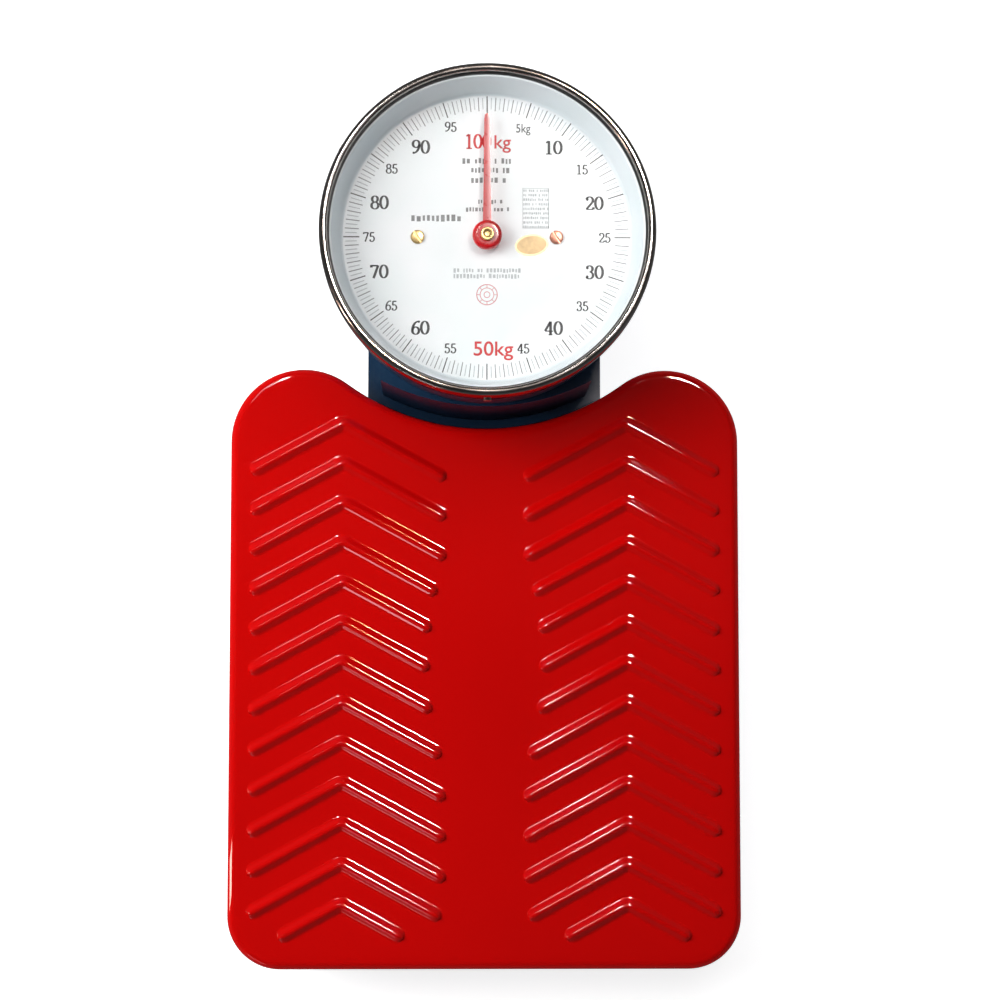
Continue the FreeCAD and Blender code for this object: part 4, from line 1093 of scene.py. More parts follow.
    def build(self) -> list[bpy.types.Object]:
        """Builds the platform's pieces.

        Returns:
            The finished pieces.
        """
        tray = settle(self.build_tray(), Body.PLATFORM, ["platform_plate"])
        ribs = settle(self.build_ribs(), Body.PLATFORM)
        return [tray, ribs]


# ---------------------------------------------------------------------------
# Dial head
# ---------------------------------------------------------------------------
@dataclass
class DialHead:
    """The chromed bezel, the pale inner trim, the glass and the dial plate."""

    sides: int = 200
    trim_foot: float = 82.0 * MM
    drum_low: Vector = field(default_factory=lambda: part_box("drum_case")[0])
    drum_high: Vector = field(default_factory=lambda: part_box("drum_case")[1])
    bezel_low: Vector = field(default_factory=lambda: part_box("bezel_ring")[0])
    bezel_high: Vector = field(default_factory=lambda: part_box("bezel_ring")[1])

    @property
    def centre(self) -> Point:
        """The dial's axis, at floor height."""
        return (0.0, (self.drum_low.y + self.drum_high.y) / 2, 0.0)

    def build_bezel(self) -> bpy.types.Object:
        """The bezel: a rolled sheet ring with a rounded nose and a turned-in lip.

        Returns:
            The bezel.
        """
        outer = self.bezel_high.x
        low, high = self.bezel_low.z, self.bezel_high.z
        profile = [
            (outer - 3.4 * MM, low), (outer - 0.5 * MM, low), (outer - 0.1 * MM, low + 0.5 * MM),
            (outer - 0.1 * MM, low + 2.0 * MM), (outer, low + 2.4 * MM), (outer, high - 3.0 * MM),
            (outer - 0.25 * MM, high - 1.7 * MM), (outer - 0.9 * MM, high - 0.7 * MM),
            (outer - 1.8 * MM, high - 0.15 * MM),
            (outer - 2.6 * MM, high), (outer - 3.4 * MM, high - 0.1 * MM),
            (outer - 4.1 * MM, high - 0.5 * MM),
            (outer - 4.6 * MM, high - 1.2 * MM), (outer - 4.7 * MM, high - 2.2 * MM),
            (outer - 4.2 * MM, high - 2.25 * MM),
            (outer - 3.45 * MM, high - 2.2 * MM),
        ]
        return turned("bezel", profile, self.centre, self.sides, DARK_CHROME, crease=50)

    def build_trim(self) -> bpy.types.Object:
        """The pale cone between the dial and the glass, with a small flat foot.

        Returns:
            The trim.
        """
        low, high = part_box("inner_trim_ring")
        mouth, foot = high.x, self.trim_foot
        profile = [
            (foot + 0.2 * MM, low.z), (foot + 2.6 * MM, low.z), (mouth - 0.9 * MM, high.z - 1.2 * MM),
            (mouth - 0.05 * MM, high.z - 0.6 * MM),
            (mouth, high.z), (mouth - 1.4 * MM, high.z), (mouth - 1.9 * MM, high.z - 0.5 * MM),
            (foot + 1.6 * MM, low.z + 1.5 * MM), (foot + 0.9 * MM, low.z + 0.8 * MM),
            (foot, low.z + 0.5 * MM),
        ]
        return turned("inner_trim", profile, self.centre, self.sides, TRIM_WHITE, crease=40)

    def build_glass(self) -> bpy.types.Object:
        """The glass: a ground-edge disc.

        Returns:
            The glass.
        """
        low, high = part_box("dial_glass")
        rim = high.x - 0.5 * MM
        profile = [
            (0.0, low.z + 0.05 * MM), (rim - 0.5 * MM, low.z + 0.05 * MM), (rim, low.z + 0.5 * MM),
            (rim, high.z - 0.6 * MM), (rim - 0.5 * MM, high.z - 0.1 * MM), (0.0, high.z - 0.1 * MM),
        ]
        return turned("dial_glass_disc", profile, self.centre, self.sides, GLASS, crease=30)

    def build_dial(self) -> bpy.types.Object:
        """The dial plate: a lacquered disc with a softened edge.

        Returns:
            The dial plate.
        """
        low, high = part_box("dial_plate")
        rim = high.x
        profile = [
            (0.0, low.z), (rim - 0.2 * MM, low.z), (rim, low.z + 0.2 * MM), (rim, high.z - 0.25 * MM),
            (rim - 0.25 * MM, high.z), (0.0, high.z),
        ]
        return turned("dial_disc", profile, self.centre, self.sides, DIAL_WHITE, crease=40)

    def build(self) -> list[bpy.types.Object]:
        """Builds the head's pieces.

        Returns:
            The finished pieces.
        """
        return [
            settle(self.build_bezel(), Body.BASE, ["bezel_ring"]),
            settle(self.build_trim(), Body.BASE, ["inner_trim_ring"]),
            settle(self.build_glass(), Body.BASE, ["dial_glass"]),
            settle(self.build_dial(), Body.BASE, ["dial_plate"]),
        ]


# ---------------------------------------------------------------------------
# Dial print
# ---------------------------------------------------------------------------
@dataclass(frozen=True)
class Label:
    """One piece of generic lettering on the dial, in millimetres from its centre."""

    text: str
    x: float
    y: float
    height: float
    weight: float
    squeeze: float = 1.0


class Figures:
    """Upright figures with thick stems and thin joins, drawn as ribbons on a unit height."""

    STROKES: dict[str, tuple[tuple[float, ...], ...]] = {
        "0": ((0.30, 0.50, 0.235, 0.455, 0, 360),),
        "1": ((0.31, 0.02, 0.31, 0.97), (0.30, 0.955, 0.12, 0.84), (0.12, 0.025, 0.50, 0.025)),
        "2": (
            (0.29, 0.70, 0.215, 0.255, 165, -38), (0.455, 0.545, 0.075, 0.06), (0.07, 0.055, 0.53, 0.055),
            (0.525, 0.055, 0.555, 0.21), (0.115, 0.76, 0.03),
        ),
        "3": (
            (0.27, 0.735, 0.195, 0.22, 155, -85), (0.26, 0.275, 0.235, 0.25, 88, -150), (0.10, 0.80, 0.03),
            (0.09, 0.17, 0.03),
        ),
        "4": (
            (0.40, 0.02, 0.40, 0.97), (0.39, 0.95, 0.04, 0.29), (0.04, 0.28, 0.57, 0.28),
            (0.27, 0.025, 0.52, 0.025)
        ),
        "5": (
            (0.16, 0.935, 0.50, 0.935), (0.165, 0.94, 0.125, 0.53), (0.27, 0.30, 0.235, 0.275, 128, -148),
            (0.10, 0.17, 0.03), (0.17, 0.905, 0.49, 0.905),
        ),
        "6": ((0.30, 0.285, 0.215, 0.26, 0, 360), (0.50, 0.30, 0.41, 0.655, 88, 180), (0.485, 0.93, 0.02)),
        "7": (
            (0.08, 0.925, 0.53, 0.925), (0.53, 0.93, 0.23, 0.01), (0.085, 0.95, 0.075, 0.78),
            (0.09, 0.895, 0.5, 0.895)
        ),
        "8": ((0.30, 0.735, 0.185, 0.215, 0, 360), (0.30, 0.27, 0.225, 0.245, 0, 360)),
        "9": ((0.30, 0.715, 0.215, 0.26, 0, 360), (0.10, 0.70, 0.41, 0.655, 268, 360), (0.115, 0.07, 0.02)),
    }
    ADVANCE = 0.60
    BALL_SIDES = 12
    BALL_SHIFT = 0.02
    BALL_STEM_SHARE = 0.35
    ARC_DEGREES = 14
    LEAST_ARC_STEPS = 6
    STEM_POWER = 1.6

    def __init__(self, draft: "MeshDraft", low: float, high: float) -> None:
        """Writes into a draft between two heights.

        Args:
            draft: Where the strokes go.
            low: Height of the strokes' underside.
            high: Height of their top.
        """
        self.draft = draft
        self.low = low
        self.high = high

    def ribbon(self, points: Sequence[tuple[float, float]], halves: Sequence[float]) -> None:
        """A flat stroke along points, each with its half width.

        Args:
            points: The stroke's middle line, in metres.
            halves: Half widths, in metres.
        """
        rings = []
        for index, (x, y) in enumerate(points):
            before, after = points[max(index - 1, 0)], points[min(index + 1, len(points) - 1)]
            run = math.hypot(after[0] - before[0], after[1] - before[1]) or 1
            nx, ny = -(after[1] - before[1]) / run, (after[0] - before[0]) / run
            w = halves[index]
            rings.append(
                self.draft.ring(
                    [(x - nx * w, y - ny * w, self.low), (x - nx * w, y - ny * w, self.high),
                     (x + nx * w, y + ny * w, self.high), (x + nx * w, y + ny * w, self.low)]
                )
            )
        for near, far in zip(rings, rings[1:]):
            self.draft.strip(near, far)
        self.draft.cap(rings[0], False)
        self.draft.cap(rings[-1], True)

    def write(
        self, text: str, x: float, y: float, height: float, thick: float, thin: float, squeeze: float
    ) -> None:
        """Writes figures centred on a point.

        Args:
            text: Digits.
            x: Middle of the text.
            y: Middle of its height.
            height: Figure height.
            thick: Width of upright strokes, as a share of the height.
            thin: Width of level strokes, as a share of the height.
            squeeze: Width factor.
        """
        left = x - len(text) * self.ADVANCE * squeeze * height / 2
        base = y - height / 2

        def place(u: float, v: float) -> tuple[float, float]:
            """A figure's own point in metres."""
            return (left + u * height * squeeze, base + v * height)

        for letter in text:
            for stroke in self.STROKES[letter]:
                if len(stroke) == 3:
                    spot = place(stroke[0] + self.BALL_SHIFT, stroke[1])
                    reach = (stroke[2] + thick * self.BALL_STEM_SHARE) * height
                    turns = [math.tau * k / self.BALL_SIDES for k in range(self.BALL_SIDES)]
                    ball = [(spot[0] + reach * math.cos(a), spot[1] + reach * math.sin(a)) for a in turns]
                    self.draft.slab(ball, self.low, self.high)
                    continue
                if len(stroke) == 4:
                    path = [place(stroke[0], stroke[1]), place(stroke[2], stroke[3])]
                else:
                    cx, cy, rx, ry, start, stop = stroke
                    steps = max(self.LEAST_ARC_STEPS, int(abs(stop - start) / self.ARC_DEGREES))
                    turns = [math.radians(start + (stop - start) * k / steps) for k in range(steps + 1)]
                    path = [place(cx + rx * math.cos(a), cy + ry * math.sin(a)) for a in turns]
                halves = []
                for index in range(len(path)):
                    before, after = path[max(index - 1, 0)], path[min(index + 1, len(path) - 1)]
                    run = math.hypot(after[0] - before[0], after[1] - before[1]) or 1
                    upright = abs(after[1] - before[1]) / run
                    halves.append(height * (thin + (thick - thin) * upright**self.STEM_POWER) / 2)
                self.ribbon(path, halves)
            left += self.ADVANCE * squeeze * height


@dataclass
class DialPrint:
    """The graduations, the figures and the small printed marks of the dial."""

    divisions: int = 200
    face: float = field(default_factory=lambda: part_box("dial_plate")[1].z)
    centre_y: float = field(
        default_factory=lambda: (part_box("dial_plate")[0].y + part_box("dial_plate")[1].y) / 2
    )
    ink: float = 0.03 * MM
    lift: float = 0.02 * MM
    glyph_height: float = 0.729
    seed: int = 7
    ten_figures: tuple[float, float, float, float] = (64.3, 8.0, 0.0, 1.08)
    five_figures: tuple[float, float, float, float] = (67.0, 5.7, 0.0, 1.02)
    first_figure: tuple[float, float, float, float] = (66.5, 5.2, 0.04, 0.84)
    five_tick: Point = (0.62, 72.5, 81.6)
    one_tick: Point = (0.52, 73.0, 80.9)
    half_tick: Point = (0.48, 74.0, 80.6)
    ten_strokes: tuple[float, float] = (0.19, 0.08)
    five_strokes: tuple[float, float] = (0.155, 0.095)
    hundred_strokes: tuple[float, float] = (0.17, 0.09)
    bar_stroke_share: float = 0.55
    bar_gap: float = 0.28
    word_gap: float = 0.9
    word_end_chance: float = 0.2
    oval_sides: int = 48
    grey_rows: Sequence[tuple[float, float, float, float]] = (
        (-14, 44, 28, 3.2), (-9, 38.7, 20, 3.1), (-9, 32.8, 18, 3.1), (-5, 20.5, 14, 2.6), (-12, 16, 26, 2.6),
        (-43, 10.8, 27, 4.0),
    )
    pale_rows: Sequence[tuple[float, float, float, float]] = ((-19, -19.1, 38, 2.6), (-19, -22.4, 38, 2.6))
    hatch_left: float = 20.7
    hatch_top: float = 27
    hatch_width: float = 14
    hatch_rows: int = 9
    hatch_frame: Sequence[tuple[float, float, float, float]] = (
        (20.2, 35.2, 28.2, 28.5), (20.2, 35.2, 5.2, 5.5), (20.2, 20.5, 5.2, 28.5), (34.9, 35.2, 5.2, 28.5),
    )
    oval_spot: tuple[float, float] = (25.4, -4.4)
    oval_tilt: float = 8
    rosette_y: float = -33
    rosette_rings: Sequence[tuple[float, float]] = ((6.1, 0.55), (4.1, 0.45), (1.9, 0.45))
    rosette_spokes: int = 8
    spoke_corners: Sequence[tuple[float, float]] = ((4.0, -0.2), (5.7, -0.2), (5.7, 0.2), (4.0, 0.2))

    def tick_tree(self) -> Tree:
        """The tree that sets one class of ticks round a circle.

        Returns:
            The tree.
        """
        tree = Tree("dial_ticks")
        for name, value in (("Width", 0.0004), ("Inner", 0.07), ("Outer", 0.08), ("Thickness", self.ink)):
            tree.add_input(name, "NodeSocketFloat", value)
        spot = tree.add("GeometryNodeInputPosition").outputs[0]
        parts = tree.add("ShaderNodeSeparateXYZ", {0: spot})
        angle = tree.math("ARCTAN2", parts.outputs["Y"], parts.outputs["X"])
        middle = tree.math("MULTIPLY", tree.math("ADD", tree.given("Inner"), tree.given("Outer")), 0.5)
        place = tree.add("ShaderNodeVectorMath", {0: spot, "Scale": middle}, operation="SCALE").outputs[0]
        moved = tree.add("GeometryNodeSetPosition", {"Geometry": tree.given("Shape"), "Position": place})
        length = tree.math("SUBTRACT", tree.given("Outer"), tree.given("Inner"))
        size = tree.vector(length, tree.given("Width"), tree.given("Thickness"))
        tick = tree.add("GeometryNodeMeshCube", {"Size": size}).outputs["Mesh"]
        turn = tree.add("FunctionNodeEulerToRotation", {0: tree.vector(0.0, 0.0, angle)})
        put = tree.add(
            "GeometryNodeInstanceOnPoints",
            {"Points": moved.outputs[0], "Instance": tick, "Rotation": turn.outputs[0]},
        )
        tree.close(put.outputs[0])
        return tree

    def ticks(
        self, tree: Tree, name: str, keep: Callable[[int], bool], finish: Finish, size: Point
    ) -> bpy.types.Object:
        """One class of ticks.

        Args:
            tree: The tick tree.
            name: The piece's name.
            keep: Which divisions it has.
            finish: Its ink.
            size: Width, inner radius and outer radius in millimetres.

        Returns:
            The ticks.
        """
        spots = []
        for k in range(self.divisions):
            if keep(k):
                angle = math.tau * k / self.divisions
                spots.append((math.sin(angle), math.cos(angle), 0.0))
        values = {"Width": size[0] * MM, "Inner": size[1] * MM, "Outer": size[2] * MM, "Thickness": self.ink}
        made = tree.grow(name, point_mesh(name, spots), finish, values)
        made.data.transform(Matrix.Translation((0, self.centre_y, self.face + self.lift)))
        return made

    def lettering(self, name: str, labels: Sequence[Label], finish: Finish) -> bpy.types.Object:
        """Figures in one ink, as one mesh.

        Args:
            name: The piece's name.
            labels: What is printed and where.
            finish: The ink.

        Returns:
            The figures.
        """
        draft = MeshDraft()
        for label in labels:
            curve = bpy.data.curves.new(name, "FONT")
            curve.body = label.text
            curve.align_x = "CENTER"
            size = label.height * MM / self.glyph_height
            curve.size = size
            curve.offset = label.weight * MM
            curve.extrude = self.ink / 2
            holder = bpy.data.objects.new(name, curve)
            bpy.context.scene.collection.objects.link(holder)
            graph = bpy.context.evaluated_depsgraph_get()
            mesh = bpy.data.meshes.new_from_object(holder.evaluated_get(graph), depsgraph=graph)
            move = Vector(
                (label.x * MM, self.centre_y + (label.y - label.height / 2) * MM, self.face + self.lift)
            )
            welded: dict[tuple[int, ...], int] = {}
            numbers = []
            for vertex in mesh.vertices:
                key = tuple(round(c * 1e8) for c in vertex.co)
                if key not in welded:
                    welded[key] = len(draft.points)
                    spot = vertex.co
                    draft.points.append((spot.x * label.squeeze + move.x, spot.y + move.y, spot.z + move.z))
                numbers.append(welded[key])
            for polygon in mesh.polygons:
                corners = tuple(dict.fromkeys(numbers[v] for v in polygon.vertices))
                if len(corners) > 2:
                    draft.faces.append(corners)
                    draft.finishes.append(0)
            bpy.data.objects.remove(holder)
        return draft.object(name, [finish], crease=20)

    def figures(
        self, name: str, labels: Sequence[Label], finish: Finish, thick: float, thin: float
    ) -> bpy.types.Object:
        """Numerals in one ink, drawn as strokes.

        Args:
            name: The piece's name.
            labels: What is printed and where.
            finish: The ink.
            thick: Width of upright strokes, as a share of the height.
            thin: Width of level strokes, as a share of the height.

        Returns:
            The numerals.
        """
        draft = MeshDraft()
        low = self.face + self.lift / 2
        pen = Figures(draft, low, low + self.ink)
        for label in labels:
            pen.write(
                label.text, label.x * MM, self.centre_y + label.y * MM, label.height * MM,
                thick, thin, label.squeeze,
            )
        return draft.object(name, [finish], crease=20)

    def around(
        self, text: str, value: float, radius: float, height: float, weight: float, squeeze: float
    ) -> Label:
        """A label at the dial angle of a weight in kilograms."""
        angle = math.tau * value / 100
        return Label(text, radius * math.sin(angle), radius * math.cos(angle), height, weight, squeeze)

    def word_bars(self, draft: MeshDraft, x: float, y: float, width: float, height: float) -> None:
        """A row of small bars that stands for a line of print.

        Args:
            draft: Where the bars go.
            x: Left end in millimetres from the dial's centre.
            y: Middle height.
            width: The row's length.
            height: The bars' height.
        """
        draws = random.Random(self.seed + int(100 * (x + y)))
        low = self.face + self.lift / 2
        at = x
        while at < x + width:
            stroke = draws.uniform(0.5, 1.1) * height * self.bar_stroke_share
            lift = draws.uniform(-0.08, 0.08) * height
            tall = height * draws.uniform(0.7, 1.0)
            left, right = at * MM, (at + stroke) * MM
            base, crown = self.centre_y + (
                y + lift - tall / 2
            ) * MM, self.centre_y + (y + lift + tall / 2) * MM
            draft.slab([(left, base), (right, base), (right, crown), (left, crown)], low, low + self.ink)
            at += stroke + height * (self.bar_gap if draws.random() > self.word_end_chance else self.word_gap)

    def ellipse(
        self, x: float, y: float, width: float, height: float, tilt: float
    ) -> list[tuple[float, float]]:
        """A tilted ellipse's outline, from millimetres at the dial's centre to metres.

        Args:
            x: Middle, to the right.
            y: Middle, upwards.
            width: Full width.
            height: Full height.
            tilt: Turn in degrees.

        Returns:
            Counter-clockwise points in metres.
        """
        turn = math.radians(tilt)
        points = []
        for k in range(self.oval_sides):
            angle = math.tau * k / self.oval_sides
            u, v = width / 2 * math.cos(angle), height / 2 * math.sin(angle)
            points.append(
                (
                    (x + u * math.cos(turn) - v * math.sin(turn)) * MM,
                    self.centre_y + (y + u * math.sin(turn) + v * math.cos(turn)) * MM,
                )
            )
        return points

    def build_small_print(self) -> list[bpy.types.Object]:
        """The generic rows, the hatched label and the gilt oval.

        Returns:
            The printed pieces.
        """
        grey = MeshDraft()
        for row in self.grey_rows:
            self.word_bars(grey, *row)
        pale = MeshDraft()
        for row in self.pale_rows:
            self.word_bars(pale, *row)
        low = self.face + self.lift / 2
        for k in range(self.hatch_rows):
            self.word_bars(pale, self.hatch_left, self.hatch_top - k * 21 / 8, self.hatch_width, 1.5)
        for x0, x1, y0, y1 in self.hatch_frame:
            pale.slab(
                [
                    (x0 * MM, self.centre_y + y0 * MM), (x1 * MM, self.centre_y + y0 * MM),
                    (x1 * MM, self.centre_y + y1 * MM), (x0 * MM, self.centre_y + y1 * MM),
                ],
                low, low + self.ink,
            )
        oval = MeshDraft()
        oval.slab(self.ellipse(*self.oval_spot, 19.2, 12.4, self.oval_tilt), low, low + 0.10 * MM, 1)
        oval.slab(
            self.ellipse(*self.oval_spot, 17.0, 10.4, self.oval_tilt), low + 0.05 * MM, low + 0.14 * MM, 0
        )
        ring = MeshDraft()
        for radius, band in self.rosette_rings:
            outer, inner = radius * MM, (radius - band) * MM
            ring.turn(
                [(inner, 0), (outer, 0), (outer, self.ink), (inner, self.ink)],
                (0, self.centre_y + self.rosette_y * MM, low), self.oval_sides,
            )
        for k in range(self.rosette_spokes):
            angle = math.tau * k / self.rosette_spokes
            ux, uy = math.cos(angle), math.sin(angle)
            corners = []
            for r, s in self.spoke_corners:
                corners.append(
                    ((r * ux - s * uy) * MM, self.centre_y + (self.rosette_y + r * uy + s * ux) * MM)
                )
            ring.slab(corners, low, low + self.ink)
        return [
            settle(grey.object("print_rows", [GREY_INK]), Body.BASE),
            settle(pale.object("print_hatch", [PALE_INK]), Body.BASE),
            settle(oval.object("gilt_oval", [GILT, GILT_RIM]), Body.BASE),
            settle(ring.object("print_rosette", [PINK_INK]), Body.BASE),
        ]

    def build(self) -> list[bpy.types.Object]:
        """Builds the whole print.

        Returns:
            The finished pieces.
        """
        tree = self.tick_tree()
        tens = [self.around(str(v), v, *self.ten_figures) for v in (10, 20, 30, 40, 60, 70, 80, 90)]
        fives = [self.around(str(v), v, *self.five_figures) for v in (15, 25, 35, 45, 55, 65, 75, 85, 95)]
        first = [self.around("5kg", 5, *self.first_figure)]
        reds = [Label("kg", 8.6, 55.4, 8.0, 0.12, 1.0), Label("50kg", 3.4, -63.6, 8.4, 0.13, 1.04)]
        hundred = [Label("100", -5.2, 55.4, 8.6, 0.0, 0.98)]
        pieces = [
            self.ticks(tree, "ticks_five", lambda k: k % 10 == 0, BLACK_INK, self.five_tick),
            self.ticks(tree, "ticks_one", lambda k: k % 2 == 0 and k % 10 != 0, GREY_INK, self.one_tick),
            self.ticks(tree, "ticks_half", lambda k: k % 2 == 1, PALE_INK, self.half_tick),
            self.figures("figures_ten", tens, BLACK_INK, *self.ten_strokes),
            self.figures("figures_five", fives, BLACK_INK, *self.five_strokes),
            self.figures("figures_hundred", hundred, RED_INK, *self.hundred_strokes),
            self.lettering("figures_first", first, BLACK_INK),
            self.lettering("figures_red", reds, RED_INK),
        ]
        for piece in pieces:
            settle(piece, Body.BASE)
        return pieces + self.build_small_print()


# ---------------------------------------------------------------------------
# Pointer
# ---------------------------------------------------------------------------
@dataclass
class Pointer:
    """The red needle with its dark tip line, the domed hub and the brass nut."""

    root_half: float = 2.5 * MM
    tip_half: float = 1.75 * MM
    red_length: float = 69.7 * MM
    line_length: float = 78.3 * MM
    line_half: float = 0.32 * MM
    crown_share: float = 0.45
    crown_rise: float = 0.08 * MM
    hub_sides: int = 72
    hub_dome_steps: int = 7
    hub_dome: tuple[float, float] = (3.0 * MM, 2.0 * MM)
    nut_sides: int = 48

    def build_needle(self) -> bpy.types.Object:
        """The needle: a tapered blade with a low ridge, then a thin dark point.

        Returns:
            The needle.
        """
        low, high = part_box("pointer_needle")
        axis_y = (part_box("pointer_hub")[0].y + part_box("pointer_hub")[1].y) / 2
        under, over, middle = low.z, high.z - self.crown_rise, high.z
        draft = MeshDraft()

        def station(y: float, half: float, crown: float) -> list[int]:
            """A cross section of the blade.

            Args:
                y: Distance from the pointer's axis.
                half: Half width.
                crown: Height of the ridge.

            Returns:
                The section's point numbers.
            """
            spot = axis_y + y
            return draft.ring(
                [
                    (-half, spot, under), (half, spot, under), (half, spot, over),
                    (half * self.crown_share, spot, crown), (-half * self.crown_share, spot, crown),
                    (-half, spot, over),
                ]
            )

        start = low.y - axis_y
        lengths = [
            start, start + 14 * MM, start + 30 * MM, self.red_length - 3 * MM, self.red_length - 0.8 * MM,
            self.red_length
        ]
        halves = [
            self.root_half, self.root_half * 0.93, self.root_half * 0.82, self.tip_half,
            self.tip_half * 0.8, self.line_half
        ]
        sections = [station(y, half, middle) for y, half in zip(lengths, halves)]
        for near, far in zip(sections, sections[1:]):
            draft.strip(near, far)
        draft.cap(sections[0], True)
        tip = [
            draft.ring(
                [
                    (-h, axis_y + y, under + 0.1 * MM), (h, axis_y + y, under + 0.1 * MM),
                    (h, axis_y + y, over), (-h, axis_y + y, over)
                ]
            )
            for y, h in (
                (self.red_length - 0.4 * MM, self.line_half),
                (self.line_length - 1 * MM, self.line_half * 0.8),
                (self.line_length, self.line_half * 0.3),
            )
        ]
        for near, far in zip(tip, tip[1:]):
            draft.strip(near, far, 1)
        draft.cap(tip[0], True, 1)
        draft.cap(tip[-1], False, 1)
        draft.cap(sections[-1], False)
        draft.faces = [tuple(reversed(face)) for face in draft.faces]
        return draft.object("needle", [POINTER_RED, BLACK_INK], crease=25)

    def build_hub(self) -> bpy.types.Object:
        """The hub: a shallow spun dome.

        Returns:
            The hub.
        """
        low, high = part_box("pointer_hub")
        centre = ((low.x + high.x) / 2, (low.y + high.y) / 2, low.z)
        tall, rim = high.z - low.z, high.x
        wide, deep = self.hub_dome
        profile = [(0.0, 0.0), (rim - 0.6 * MM, 0.0), (rim, 0.5 * MM), (rim, tall - deep)]
        for k in range(1, self.hub_dome_steps + 1):
            angle = math.pi / 2 * k / self.hub_dome_steps
            profile.append((rim - wide * (1 - math.cos(angle)), tall - deep + deep * math.sin(angle)))
        profile += [(wide, tall), (0.0, tall)]
        return turned("hub", profile, centre, self.hub_sides, POINTER_RED, crease=40)

    def build_nut(self) -> bpy.types.Object:
        """The nut: a brass button with a dished face.

        Returns:
            The nut.
        """
        low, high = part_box("pointer_nut")
        centre = ((low.x + high.x) / 2, (low.y + high.y) / 2, low.z)
        tall, rim = high.z - low.z, high.x
        profile = [
            (0.0, -0.3 * MM), (rim, -0.3 * MM), (rim, tall - 0.6 * MM), (rim - 0.45 * MM, tall - 0.1 * MM),
            (rim - 0.9 * MM, tall), (rim * 0.5, tall - 0.35 * MM), (rim * 0.32, tall - 1.0 * MM),
            (0.0, tall - 1.1 * MM),
        ]
        return turned("hub_nut", profile, centre, self.nut_sides, BRASS, crease=35)

    def build(self) -> list[bpy.types.Object]:
        """Builds the pointer's pieces.

        Returns:
            The finished pieces.
        """
        return [
            settle(self.build_needle(), Body.POINTER, ["pointer_needle"]),
            settle(self.build_hub(), Body.POINTER, ["pointer_hub"]),
            settle(self.build_nut(), Body.POINTER, ["pointer_nut"]),
        ]


